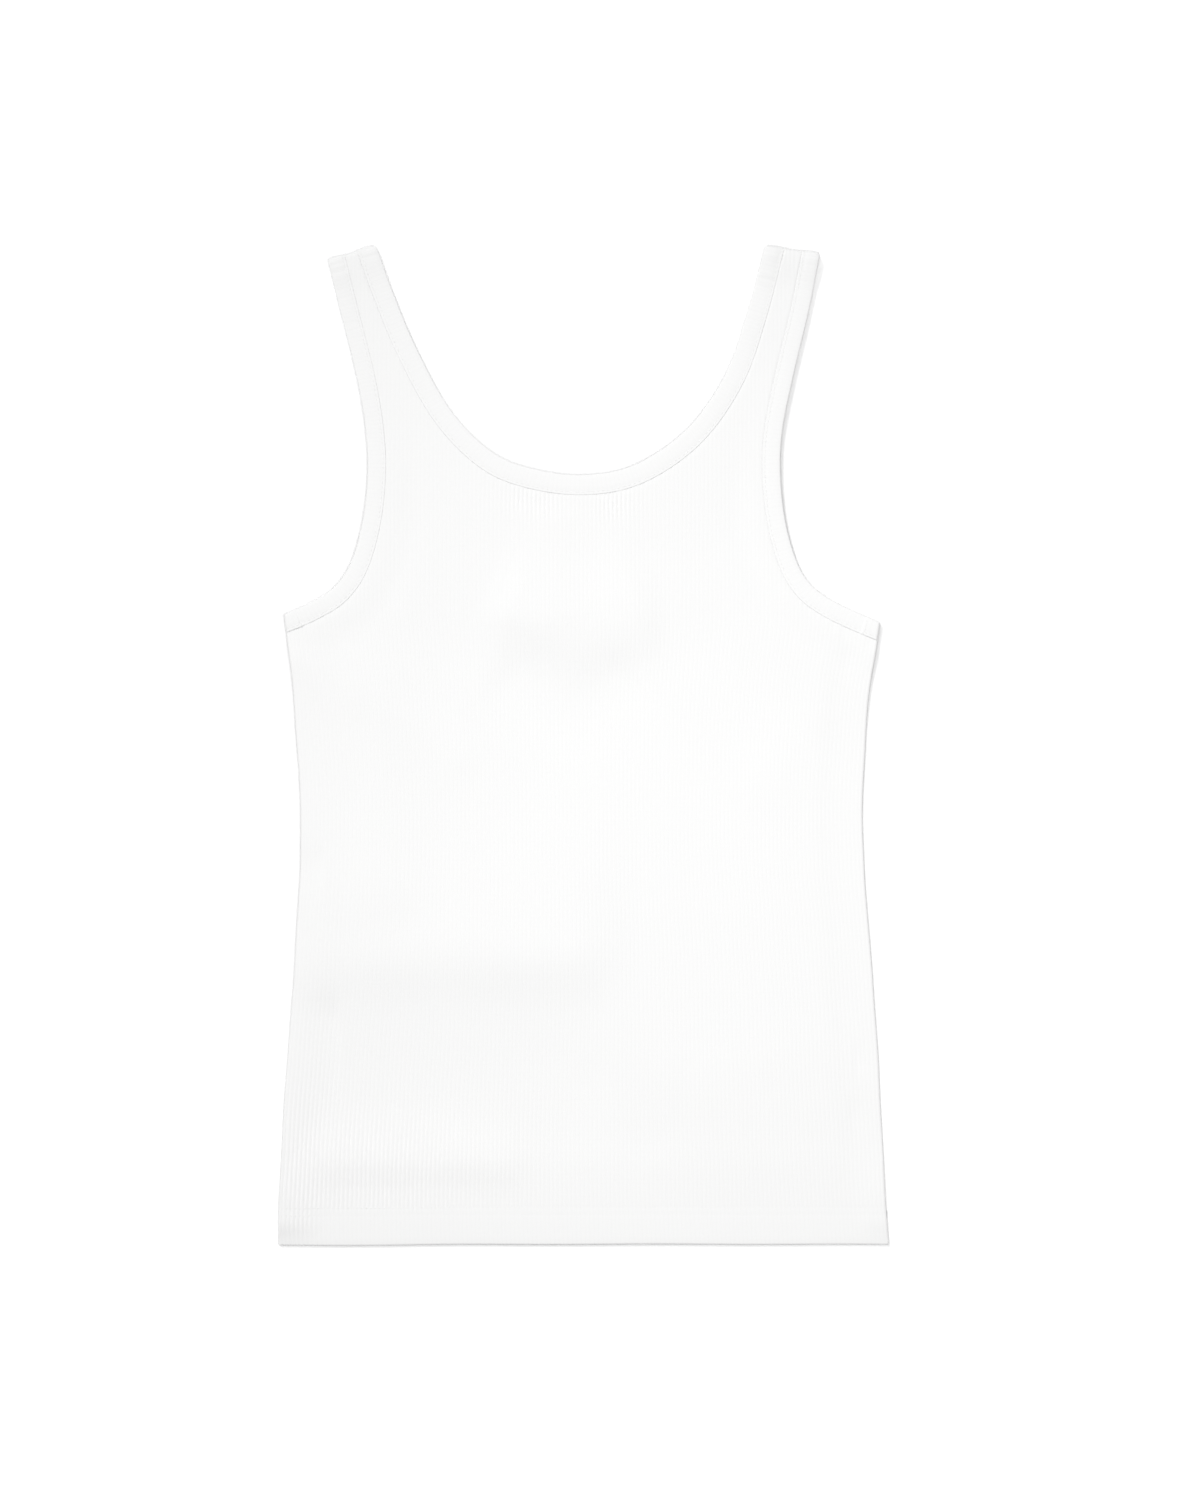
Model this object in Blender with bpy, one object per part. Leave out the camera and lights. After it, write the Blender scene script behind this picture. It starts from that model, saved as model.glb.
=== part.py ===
"""Ribbed tank top laid flat, back side up, made of the pieces that are cut and sewn.

The garment lies in the XY plane with its neck towards +Y and its hem towards -Y. Z is up, and
the lowest layer of cloth rests at z = 0. Every piece is one closed wall of cloth:

    back_panel              cut in one, rolled over the shoulders and turned up at the hem
    front_panel             cut in one, under the back, turned up at the hem
    neck_binding            one folded strip round the whole neckline
    armhole_binding_left    folded strips from underarm to underarm, over the shoulder
    armhole_binding_right

Panels are cut flat: their outlines are drawn on the unfolded cloth, and the folds then bend
that cloth over. All numbers are millimetres until a mesh is made.
"""

import math
from collections import namedtuple

import bmesh
import bpy
from mathutils import Vector
from mathutils.geometry import delaunay_2d_cdt

MM = 0.001

# ---------------------------------------------------------------- driving dimensions
CLOTH = 1.0              # wall of every piece
GAP = 0.3                # clear space between two pieces
LAYER = CLOTH + GAP      # rise from one layer of cloth to the next
NECK_BAND = 12.4         # finished width of the neck binding
ARM_BAND = 11.2          # finished width of an armhole binding
HEM_FOLD = -310.0        # height of the garment's lower edge
HEM_DEPTH = 21.0         # cloth turned up inside the hem
HEM_SIDE_INSET = 1.0     # the turned-up cloth stays this far inside the side seams
FRONT_DROP = 45.0        # the front neckline is cut this much lower than the back one
FRONT_INSET = 4.0        # the front armholes are cut this much further in

CLEAR = 3.0              # flat cloth kept beyond a band before the panel starts to fall
EASE = 14.0              # length over which a panel falls from a band to the open cloth
STRAP_LOW = 235.0        # from here up, the straps stay as high as their bindings
STRAP_RISE = 30.0        # the rise to that level takes this much of a strap's length
EASED = (0.0, 0.35, 0.7, 1.0)   # parts of the fall at which a panel has a row of points

STEP = 13.0              # spacing of points along curved edges
OPEN_STEP = 42.0         # spacing of points in the open cloth
POINT_MARGIN = 2.5       # a panel's inner points keep this far from its edge and each other
ROLL_STEPS = 8           # facets in the roll over a shoulder
HEM_STEPS = 4            # facets in the fold at the hem
EDGE_ROUND = 0.8         # corner taken off a binding's folded edge

# ---------------------------------------------------------------- outline of the laid garment
Point = namedtuple("Point", "x y")
SeamRow = namedtuple("SeamRow", "height left right")

SIDE_SEAMS = (
    SeamRow(-310.0, -189.2, 189.2),   # lower edge
    SeamRow(-282.0, -188.7, 187.4),
    SeamRow(-220.0, -185.4, 183.9),
    SeamRow(-158.0, -180.4, 180.2),
    SeamRow(-109.0, -177.4, 176.4),
    SeamRow(-72.0, -175.6, 173.5),    # waist
    SeamRow(-34.0, -175.6, 173.0),
    SeamRow(27.0, -179.4, 176.7),
    SeamRow(60.0, -183.2, 181.6),     # chest
)

NECK = (
    Point(-127.3, 306.3),             # left shoulder, inner corner
    Point(-118.6, 281.5),
    Point(-103.9, 246.1),
    Point(-82.8, 207.7),
    Point(-58.0, 181.9),
    Point(-33.0, 170.8),
    Point(0.0, 166.6),                # lowest point
    Point(32.0, 173.0),
    Point(64.0, 195.0),
    Point(87.7, 228.8),
    Point(101.4, 267.8),
    Point(111.4, 306.0),              # right shoulder, inner corner
)

ARMHOLE_LEFT = (
    Point(-185.7, 80.0),              # underarm corner
    Point(-168.3, 88.0),
    Point(-154.1, 97.3),
    Point(-143.5, 113.5),
    Point(-136.2, 141.0),
    Point(-133.6, 170.0),             # narrowest across the shoulders
    Point(-135.2, 197.0),
    Point(-140.8, 228.5),
    Point(-151.6, 271.6),
    Point(-157.9, 297.1),             # left shoulder, outer corner
)

ARMHOLE_RIGHT = (
    Point(146.0, 301.1),              # right shoulder, outer corner
    Point(139.4, 267.8),
    Point(129.0, 224.0),
    Point(122.6, 190.0),
    Point(122.2, 160.0),              # narrowest across the shoulders
    Point(126.6, 130.0),
    Point(136.1, 104.8),
    Point(152.0, 90.0),
    Point(183.8, 75.0),               # underarm corner
)

# ---------------------------------------------------------------- levels of the layers
STACK = 6 * LAYER - GAP                  # six layers lie on each other at a shoulder
MIDDLE = STACK / 2                       # half way between the front's and the back's layers
PANEL_ROLL = GAP / 2 + LAYER + CLOTH / 2   # radius of the back panel's roll over a shoulder
HEM_ROLL = LAYER / 2                     # radius of the fold at the hem
HEM_EDGE = HEM_ROLL + CLOTH / 2          # the fold reaches this far beyond its axis

COTTON = (0.93, 0.93, 0.92, 1.0)


# ---------------------------------------------------------------- small geometry
def smooth(value):
    """Ease from 0 to 1 as value goes from 0 to 1."""
    value = min(max(value, 0.0), 1.0)
    return value * value * (3.0 - 2.0 * value)


def spline(rows, spacing):
    """Points at an even spacing on a smooth curve through rows."""
    knots = [Vector(row) for row in rows]
    knots = [2 * knots[0] - knots[1], *knots, 2 * knots[-1] - knots[-2]]
    fine = []
    for a, b, c, d in zip(knots, knots[1:], knots[2:], knots[3:]):
        for step in range(16):
            t = step / 16
            fine.append(0.5 * (2 * b + (c - a) * t + (2 * a - 5 * b + 4 * c - d) * t ** 2
                               + (3 * b - a - 3 * c + d) * t ** 3))
    fine.append(knots[-2])
    return spread(fine, spacing)


def spread(points, spacing):
    """The same polyline with points at an even spacing."""
    lengths = [(b - a).length for a, b in zip(points, points[1:])]
    count = max(1, round(sum(lengths) / spacing))
    pace = sum(lengths) / count
    result, walked, target = [points[0].copy()], 0.0, pace
    for a, b, length in zip(points, points[1:], lengths):
        while target <= walked + length and len(result) < count:
            result.append(a.lerp(b, (target - walked) / length))
            target += pace
        walked += length
    return result + [points[-1].copy()]


def distance(point, line):
    """Distance from a point to a polyline."""
    best = math.inf
    for a, b in zip(line, line[1:]):
        run = b - a
        t = min(max((point - a).dot(run) / run.length_squared, 0.0), 1.0)
        best = min(best, (a + run * t - point).length)
    return best


def height_at(line, x):
    """Height of a polyline that runs from left to right, or None beyond its ends."""
    for a, b in zip(line, line[1:]):
        if a.x <= x <= b.x:
            return a.y + (b.y - a.y) * (x - a.x) / (b.x - a.x)
    return None


def inside(point, outline):
    """True where a point lies inside a closed outline."""
    found = False
    for a, b in zip(outline, outline[1:] + outline[:1]):
        if (a.y > point.y) != (b.y > point.y):
            if point.x < a.x + (b.x - a.x) * (point.y - a.y) / (b.y - a.y):
                found = not found
    return found


# ---------------------------------------------------------------- folds
class Fold:
    """A straight fold: cloth beyond its axis bends over a roll and runs back under or over."""

    def __init__(self, start, end, height, radius, up):
        self.start = Vector(start)
        self.along = (Vector(end) - self.start).normalized()
        self.over = Vector((-self.along.y, self.along.x))
        self.height = height
        self.radius = radius
        self.up = up

    def past(self, point):
        """How far a point of the flat cloth lies beyond the fold's axis."""
        return (point - self.start).dot(self.over)

    def bend(self, point, offset):
        """Where a point beyond the axis goes, offset outwards from the middle of the cloth."""
        length = self.past(point)
        foot = point - self.over * length
        angle = length / self.radius
        reach = (self.radius + offset) * math.sin(min(angle, math.pi))
        rise = (self.radius + offset) * math.cos(min(angle, math.pi))
        reach -= max(0.0, length - math.pi * self.radius)
        flat = foot + self.over * reach
        return Vector((flat.x, flat.y, self.height + self.up * rise))


LEFT_SHOULDER = Fold(ARMHOLE_LEFT[-1], NECK[0], MIDDLE, PANEL_ROLL, 1)
RIGHT_SHOULDER = Fold(NECK[-1], ARMHOLE_RIGHT[0], MIDDLE, PANEL_ROLL, 1)


def hem(height, up):
    """The fold at the lower edge of a panel, with its axis at the given height."""
    level = HEM_FOLD + HEM_EDGE
    return Fold((1.0, level), (0.0, level), height, HEM_ROLL, up)


BACK_HEM = hem(3 * LAYER - GAP / 2, 1)
FRONT_HEM = hem(LAYER - GAP / 2, -1)


# ---------------------------------------------------------------- bound edges
class Edge:
    """A bound edge of the laid garment, with the cloth on its right as it runs."""

    def __init__(self, points, band, first, last):
        self.points = points
        self.band = band
        self.inward = [self.across(index) for index in range(len(points))]
        self.inward[0] = first
        self.inward[-1] = last

    def across(self, index):
        """Direction into the cloth, square to the edge."""
        before = self.points[max(index - 1, 0)]
        after = self.points[min(index + 1, len(self.points) - 1)]
        run = (after - before).normalized()
        return Vector((run.y, -run.x))

    def inset(self, depth):
        """The edge moved into the cloth."""
        return [point + way * depth for point, way in zip(self.points, self.inward)]


def seam_line(side):
    """One side seam from the hem to the underarm corner, as evenly spaced points."""
    corner = ARMHOLE_LEFT[0] if side == "left" else ARMHOLE_RIGHT[-1]
    rows = [Point(getattr(row, side), row.height) for row in SIDE_SEAMS] + [corner]
    return spline(rows, STEP)


def down_seam(line):
    """Direction of a side seam just below the underarm, pointing down."""
    return (line[-2] - line[-1]).normalized()


SEAMS = {side: seam_line(side) for side in ("left", "right")}


def deepen_neck(point):
    """A point of the back neckline moved down to the front neckline."""
    top = min(NECK[0].y, NECK[-1].y)
    bottom = min(row.y for row in NECK)
    depth = smooth((top - point.y) / (top - bottom))
    return Vector((point.x, point.y - FRONT_DROP * depth))


def cut_in(points):
    """An armhole cut further in between its two ends."""
    middle = len(points) - 1
    moved = []
    for index, point in enumerate(points):
        shift = FRONT_INSET * math.sin(math.pi * index / middle)
        moved.append(point - Vector((math.copysign(shift, point.x), 0.0)))
    return moved


def bound_edges(front):
    """The three bound edges of one panel, in the order the outline meets them."""
    neck = spline(NECK, STEP)
    left = spline(ARMHOLE_LEFT, STEP)
    right = spline(ARMHOLE_RIGHT, STEP)
    if front:
        neck = spread([deepen_neck(point) for point in neck], STEP)
        left = cut_in(left)
        right = cut_in(right)
    across_left, across_right = LEFT_SHOULDER.along, RIGHT_SHOULDER.along
    return {
        "left": Edge(left, ARM_BAND, down_seam(SEAMS["left"]), across_left),
        "neck": Edge(neck, NECK_BAND, -across_left, across_right),
        "right": Edge(right, ARM_BAND, -across_right, down_seam(SEAMS["right"])),
    }


BACK_EDGES = bound_edges(front=False)
FRONT_EDGES = bound_edges(front=True)


# ---------------------------------------------------------------- where each panel lies
def pressed(point, edges):
    """1 on cloth held up by a binding, easing to 0 in the open panel."""
    near = 0.0
    for edge in edges.values():
        beyond = distance(point, edge.points) - edge.band - CLEAR
        near = max(near, 1.0 - smooth(beyond / EASE))
    return max(near, smooth((point.y - STRAP_LOW) / STRAP_RISE))


def over_scoop(point):
    """True where the back lies over the front's open neck, with no front panel beneath."""
    line = height_at(FRONT_EDGES["neck"].points, point.x)
    return line is not None and point.y > line


def front_level(point):
    """Underside of the front panel."""
    return LAYER * pressed(point, FRONT_EDGES)


def back_level(point):
    """Underside of the back panel, which lies on the front and on its bindings and hem."""
    held = 1.0 if over_scoop(point) else pressed(point, FRONT_EDGES)
    hem_top = HEM_FOLD + HEM_DEPTH + CLEAR
    turned = 1.0 - smooth((point.y - hem_top) / EASE)
    return LAYER * (1 + 2 * held + pressed(point, BACK_EDGES) + 2 * turned)


def place(point, offset, level, folds, up):
    """A point of the flat cloth where it lies, offset outwards from the cloth's middle."""
    for fold in folds:
        if fold.past(point) > 0.0:
            return fold.bend(point, offset)
    return Vector((point.x, point.y, level(point) + CLOTH / 2 + up * offset))


# ---------------------------------------------------------------- flat cuts
def hem_rows():
    """How far beyond the hem's axis each row of points lies, to the turned-up edge."""
    rows = [HEM_ROLL * math.pi * step / HEM_STEPS for step in range(1, HEM_STEPS + 1)]
    return rows + [HEM_ROLL * math.pi + HEM_DEPTH - HEM_EDGE]


def side_of_cut(side):
    """One side of a panel's cut, from the turned-up edge to below the underarm corner."""
    line = SEAMS[side]
    axis = HEM_FOLD + HEM_EDGE
    inward = HEM_SIDE_INSET if side == "left" else -HEM_SIDE_INSET
    turned = [Vector((line[0].x, axis - past)) for past in hem_rows()]
    turned[-2].x += inward
    turned[-1].x += inward
    body = [point for point in line[1:-1]]
    return turned[::-1] + [Vector((line[0].x, axis))] + body


def over_shoulder(start, end, fold, steps):
    """Both edges of a strap rolled over its shoulder, joined at the far end."""
    rise = [fold.over * fold.radius * math.pi * step / steps for step in range(1, steps + 1)]
    return [start + way for way in rise] + [end + way for way in reversed(rise)]


def cut_outline(edges, rolled):
    """A panel's outline on the flat cloth, clockwise from the left turned-up corner."""
    inset = {name: edge.inset(LAYER) for name, edge in edges.items()}
    outline = side_of_cut("left") + inset["left"]
    if rolled:
        outline += over_shoulder(inset["left"][-1], inset["neck"][0], LEFT_SHOULDER, ROLL_STEPS)
    outline += inset["neck"]
    if rolled:
        outline += over_shoulder(inset["neck"][-1], inset["right"][0], RIGHT_SHOULDER, ROLL_STEPS)
    return outline + inset["right"] + side_of_cut("right")[::-1]


def rings(edges):
    """Points that follow the bound edges, first where the bands' flat cloth ends."""
    return [point for part in EASED for edge in edges
            for point in edge.inset(edge.band + CLEAR + EASE * part)[1:-1]]


def open_grid():
    """Evenly spread points for the open cloth, and closer rows where the hem eases down."""
    left, right, top = SIDE_SEAMS[0].left, SIDE_SEAMS[0].right, NECK[0].y
    columns = round((right - left) / OPEN_STEP)
    rows = round((top - HEM_FOLD) / OPEN_STEP)
    across = [left + (right - left) * (column + 0.5) / columns for column in range(columns)]
    heights = [HEM_FOLD + (top - HEM_FOLD) * (row + 0.5) / rows for row in range(1, rows)]
    eased = [HEM_FOLD + HEM_DEPTH + CLEAR + EASE * part for part in EASED]
    axis = HEM_FOLD + HEM_EDGE
    return [Vector((x, y)) for x in across for y in [axis, *eased, *heights]]


def keep_clear(points, outline, margin):
    """Only the points that lie inside the outline, clear of it and of each other."""
    closed = outline + outline[:1]
    kept = []
    for point in points:
        if not inside(point, outline) or distance(point, closed) < margin:
            continue
        if all((point - other).length > margin for other in kept):
            kept.append(point)
    return kept


def triangulate(outline, points, rungs):
    """Triangles of the flat cut, with a straight edge along each rung of a fold."""
    everything = outline + points
    edges = [(outline.index(a), outline.index(b)) for a, b in rungs]
    found = delaunay_2d_cdt(everything, edges, [list(range(len(outline)))], 1, 1e-4)
    return found[0], found[2]


def roll_rungs(outline, fold):
    """Pairs of outline points at equal distance beyond a fold's axis."""
    beyond = [point for point in outline if fold.past(point) > 1e-3]
    beyond.sort(key=lambda point: (round(fold.past(point), 2), (point - fold.start).dot(fold.along)))
    return list(zip(beyond[0::2], beyond[1::2]))


# ---------------------------------------------------------------- meshes
def add_object(name, vertices, faces, material):
    """One named object from vertices in millimetres, with its faces pointing outwards."""
    mesh = bpy.data.meshes.new(name)
    mesh.from_pydata([vertex * MM for vertex in vertices], [], faces)
    built = bmesh.new()
    built.from_mesh(mesh)
    bmesh.ops.recalc_face_normals(built, faces=built.faces)
    built.to_mesh(mesh)
    built.free()
    mesh.shade_smooth()
    mesh.set_sharp_from_angle(angle=math.radians(35))
    mesh.materials.append(material)
    thing = bpy.data.objects.new(name, mesh)
    bpy.context.scene.collection.objects.link(thing)
    return thing


def wall(name, outline, points, folds, level, up, material):
    """A panel: its flat cut triangulated, thickened to a wall and laid in place."""
    rungs = [pair for fold in folds for pair in roll_rungs(outline, fold)]
    flat, triangles = triangulate(outline, points, rungs)
    count = len(flat)
    vertices = [place(point, CLOTH / 2, level, folds, up) for point in flat]
    vertices += [place(point, -CLOTH / 2, level, folds, up) for point in flat]
    faces = [list(corners) for corners in triangles]
    faces += [[corner + count for corner in reversed(corners)] for corners in triangles]
    sides = {(a, b) for c in triangles for a, b in zip(c, list(c[1:]) + [c[0]])}
    rim = [(a, b) for a, b in sides if (b, a) not in sides]
    faces += [[b, a, a + count, b + count] for a, b in rim]
    return add_object(name, vertices, faces, material)


def folded_section(band):
    """Section of a binding: (depth into the cloth, height above its inner face)."""
    top = 3 * LAYER - GAP
    web = CLOTH
    return [
        (band, 0.0), (EDGE_ROUND, 0.0), (0.0, EDGE_ROUND),
        (0.0, top - EDGE_ROUND), (EDGE_ROUND, top), (band, top),
        (band, top - CLOTH), (web, top - CLOTH), (web, CLOTH), (band, CLOTH),
    ]


def stations(edge, turn):
    """Where a binding's section stands along one edge: point, way in, way up."""
    up = Vector((0.0, 0.0, math.cos(turn)))
    return [(point, way, up) for point, way in zip(edge.points, edge.inward)]


def roll(point, way, fold, steps):
    """Stations over a shoulder, between the back's last one and the front's first."""
    result = []
    for step in range(1, steps):
        turn = math.pi * step / steps
        lean = fold.over * math.sin(turn)
        result.append((point, way, Vector((lean.x, lean.y, math.cos(turn)))))
    return result


def strip(name, section, places, closed, material):
    """A strip with one section swept through its stations."""
    vertices = []
    for point, way, up in places:
        for depth, height in section:
            flat = point + way * depth
            lift = up * (height + GAP / 2)
            vertices.append(Vector((flat.x + lift.x, flat.y + lift.y, MIDDLE + lift.z)))
    size, rows = len(section), len(places)
    faces = []
    for row in range(rows if closed else rows - 1):
        here, there = row * size, (row + 1) % rows * size
        for k in range(size):
            after = (k + 1) % size
            faces.append([here + k, here + after, there + after, there + k])
    if not closed:
        faces.append(list(range(size)))
        faces.append([size * (rows - 1) + k for k in reversed(range(size))])
    return add_object(name, vertices, faces, material)


# ---------------------------------------------------------------- pieces
def back_panel(material):
    """The back, rolled over both shoulders to a seam on their underside."""
    outline = cut_outline(BACK_EDGES, rolled=True)
    near_edges = rings([*FRONT_EDGES.values(), *BACK_EDGES.values()])
    points = keep_clear(near_edges + open_grid(), outline, POINT_MARGIN)
    folds = (LEFT_SHOULDER, RIGHT_SHOULDER, BACK_HEM)
    return wall("back_panel", outline, points, folds, back_level, 1, material)


def front_panel(material):
    """The front, from the shoulder seams down to its own turned-up hem."""
    edges = {name: trimmed(edge) for name, edge in FRONT_EDGES.items()}
    outline = cut_outline(edges, rolled=False)
    points = keep_clear(rings(FRONT_EDGES.values()) + open_grid(), outline, POINT_MARGIN)
    return wall("front_panel", outline, points, (FRONT_HEM,), front_level, -1, material)


def trimmed(edge):
    """A front edge drawn back from the shoulder folds by the gap at the seam."""
    points = [point.copy() for point in edge.points]
    for index, fold in ((0, LEFT_SHOULDER), (0, RIGHT_SHOULDER),
                        (-1, LEFT_SHOULDER), (-1, RIGHT_SHOULDER)):
        if abs(fold.past(points[index])) < GAP:
            points[index] -= fold.over * GAP
    return Edge(points, edge.band, edge.inward[0], edge.inward[-1])


def neck_binding(material):
    """One strip round the neckline: across the back, over a shoulder, across the front."""
    back, front = BACK_EDGES["neck"], FRONT_EDGES["neck"]
    places = stations(back, 0.0)
    places += roll(back.points[-1], back.inward[-1], RIGHT_SHOULDER, ROLL_STEPS)
    places += stations(front, math.pi)[::-1]
    places += roll(back.points[0], back.inward[0], LEFT_SHOULDER, ROLL_STEPS)[::-1]
    return strip("neck_binding", folded_section(NECK_BAND), places, True, material)


def armhole_binding(side, fold, material):
    """One strip from underarm to underarm: up the back, over the shoulder, down the front."""
    back, front = BACK_EDGES[side], FRONT_EDGES[side]
    order = 1 if side == "left" else -1
    up_back = stations(back, 0.0)[::order]
    point, way, _ = up_back[-1]
    places = up_back + roll(point, way, fold, ROLL_STEPS) + stations(front, math.pi)[::-order]
    section = folded_section(ARM_BAND)
    return strip(f"armhole_binding_{side}", section, places, False, material)


def cotton(name, roughness):
    """Plain white cotton."""
    material = bpy.data.materials.new(name)
    material.use_nodes = True
    shader = material.node_tree.nodes["Principled BSDF"]
    shader.inputs["Base Color"].default_value = COTTON
    shader.inputs["Roughness"].default_value = roughness
    shader.inputs["Metallic"].default_value = 0.0
    return material


def main():
    for thing in list(bpy.data.objects):
        bpy.data.objects.remove(thing, do_unlink=True)
    back_panel(cotton("back_rib", 0.90))
    front_panel(cotton("front_rib", 0.90))
    neck_binding(cotton("neck_binding_rib", 0.88))
    for side, fold in (("left", LEFT_SHOULDER), ("right", RIGHT_SHOULDER)):
        armhole_binding(side, fold, cotton(f"armhole_binding_rib_{side}", 0.88))


main()
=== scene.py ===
"""Looks of a ribbed tank top that lies flat, back side up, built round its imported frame.

The garment lies in the XY plane with its neck towards +Y and Z up, as the frame does. Each cloth
is drawn flat, as it is cut, and then laid down: turned up at the hem, let down over the layers
beneath it and rolled over the shoulders. Lengths are millimetres until a mesh is made, and knit
coordinates count ribs one way and millimetres of cloth the other way.
"""

from __future__ import annotations

import logging
import math
from dataclasses import dataclass, field
from enum import Enum
from typing import ClassVar, NamedTuple, Sequence

import bmesh
import bpy
import numpy as np
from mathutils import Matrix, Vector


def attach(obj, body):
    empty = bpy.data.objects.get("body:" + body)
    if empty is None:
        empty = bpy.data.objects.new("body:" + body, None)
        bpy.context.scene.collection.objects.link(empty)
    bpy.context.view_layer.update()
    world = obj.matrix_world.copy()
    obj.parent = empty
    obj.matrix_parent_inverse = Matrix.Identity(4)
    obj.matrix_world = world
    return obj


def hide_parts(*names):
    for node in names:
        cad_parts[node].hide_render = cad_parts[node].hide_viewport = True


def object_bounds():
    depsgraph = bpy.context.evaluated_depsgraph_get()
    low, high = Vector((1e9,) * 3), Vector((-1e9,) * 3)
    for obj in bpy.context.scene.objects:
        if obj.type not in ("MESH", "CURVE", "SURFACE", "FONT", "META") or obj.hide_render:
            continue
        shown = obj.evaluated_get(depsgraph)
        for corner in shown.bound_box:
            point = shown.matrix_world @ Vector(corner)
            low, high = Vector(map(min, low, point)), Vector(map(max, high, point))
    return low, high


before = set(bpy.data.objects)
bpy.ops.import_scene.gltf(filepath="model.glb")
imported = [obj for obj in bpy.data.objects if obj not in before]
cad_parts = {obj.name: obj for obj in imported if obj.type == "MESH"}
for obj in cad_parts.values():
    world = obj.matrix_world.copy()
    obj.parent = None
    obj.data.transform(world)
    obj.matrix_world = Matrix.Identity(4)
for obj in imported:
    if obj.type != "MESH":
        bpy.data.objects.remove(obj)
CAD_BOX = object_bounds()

log = logging.getLogger("tank_top")

MM = 0.001
BODY = "root"
KNIT_MAP = "Knit"

# ---------------------------------------------------------------- driving dimensions
CLOTH = 1.0                        # wall of every piece
GAP = 0.3                          # clear space between two pieces
LAYER = CLOTH + GAP                # rise from one layer of cloth to the next
NECK_BAND = 12.4                   # finished width of the neck binding
ARM_BAND = 11.2                    # finished width of an armhole binding
HEM_DEPTH = 21.0                   # cloth turned up inside the hem
HEM_SIDE_INSET = 1.0               # the turned-up cloth stays this far inside the side seams
HEM_CORNER = -172.0                # left of this, the hem is gathered at its corner
FRONT_DROP = 45.0                  # the front neckline is cut this much lower than the back one
FRONT_INSET = 4.0                  # the front armholes are cut this much further in
RIB_PITCH = 2.6                    # one rib and one groove

HEM_FOLD = CAD_BOX[0].y / MM       # height of the garment's lower edge
MIDDLE = CAD_BOX[1].z / MM / 2     # half way up the stack of layers at a shoulder
PANEL_ROLL = GAP / 2 + LAYER + CLOTH / 2
HEM_ROLL = LAYER / 2
HEM_EDGE = HEM_ROLL + CLOTH / 2    # the fold at the hem reaches this far beyond its axis
HEM_AXIS = HEM_FOLD + HEM_EDGE
HEM_TURNED = HEM_AXIS - HEM_ROLL * math.pi   # flat cloth below this lies inside the hem
BINDING_TOP = 3 * LAYER - GAP      # outer face of a binding above its inner one

CLEAR = 3.0                        # flat cloth kept beyond a band before a panel starts to fall
STRAP_LOW = 235.0                  # from here up, the straps stay as high as their bindings
STRAP_RISE = 30.0                  # and come up to that level over this length
LINE_STEP = 3.0                    # spacing of points along curved edges
SPLINE_STEPS = 16                  # steps of a curve between two of its given points
SHOULDER_STEPS = 25                # stations of a binding's route over a shoulder
CHUNK = 4000                       # points whose nearest place on a line is found at once
SAME = 1e-6                        # two positions that differ by less are one


class Point(NamedTuple):
    """A place on the laid garment's outline."""

    x: float
    y: float


class SeamRow(NamedTuple):
    """Where both side seams lie at one height."""

    height: float
    left: float
    right: float


SIDE_SEAMS = (
    SeamRow(HEM_FOLD, -189.2, 189.2),   # lower edge
    SeamRow(-282.0, -188.7, 187.4),
    SeamRow(-220.0, -185.4, 183.9),
    SeamRow(-158.0, -180.4, 180.2),
    SeamRow(-109.0, -177.4, 176.4),
    SeamRow(-72.0, -175.6, 173.5),      # waist
    SeamRow(-34.0, -175.6, 173.0),
    SeamRow(27.0, -179.4, 176.7),
    SeamRow(60.0, -183.2, 181.6),       # chest
)

NECK = (
    Point(-127.3, 306.3),               # left shoulder, inner corner
    Point(-118.6, 281.5),
    Point(-103.9, 246.1),
    Point(-82.8, 207.7),
    Point(-58.0, 181.9),
    Point(-33.0, 170.8),
    Point(0.0, 166.6),                  # lowest point
    Point(32.0, 173.0),
    Point(64.0, 195.0),
    Point(87.7, 228.8),
    Point(101.4, 267.8),
    Point(111.4, 306.0),                # right shoulder, inner corner
)

ARMHOLE_LEFT = (
    Point(-185.7, 80.0),                # underarm corner
    Point(-168.3, 88.0),
    Point(-154.1, 97.3),
    Point(-143.5, 113.5),
    Point(-136.2, 141.0),
    Point(-133.6, 170.0),               # narrowest across the shoulders
    Point(-135.2, 197.0),
    Point(-140.8, 228.5),
    Point(-151.6, 271.6),
    Point(-157.9, 297.1),               # left shoulder, outer corner
)

ARMHOLE_RIGHT = (
    Point(146.0, 301.1),                # right shoulder, outer corner
    Point(139.4, 267.8),
    Point(129.0, 224.0),
    Point(122.6, 190.0),
    Point(122.2, 160.0),                # narrowest across the shoulders
    Point(126.6, 130.0),
    Point(136.1, 104.8),
    Point(152.0, 90.0),
    Point(183.8, 75.0),                 # underarm corner
)


class Layer(Enum):
    """The two layers of the laid garment."""

    BACK = "back"
    FRONT = "front"


class Side(Enum):
    """Left and right as seen from above."""

    LEFT = "left"
    RIGHT = "right"


class Slot(Enum):
    """The record's material slots."""

    BODY = "body_rib"
    BINDING = "binding_rib"
    THREAD = "sewing_thread"


NECK_TOP = min(NECK[0].y, NECK[-1].y)
NECK_BOTTOM = min(row.y for row in NECK)
CORNERS = {Side.LEFT: ARMHOLE_LEFT[0], Side.RIGHT: ARMHOLE_RIGHT[-1]}
UNDERARM = min(corner.y for corner in CORNERS.values())


# ---------------------------------------------------------------- small geometry
def smooth(value: np.ndarray | float) -> np.ndarray:
    """Ease from 0 to 1 as value goes from 0 to 1."""
    value = np.clip(value, 0.0, 1.0)
    return value * value * (3.0 - 2.0 * value)


def unit(ways: np.ndarray) -> np.ndarray:
    """The same directions, one in each row, at length 1."""
    return ways / np.linalg.norm(ways, axis=-1, keepdims=True)


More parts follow.
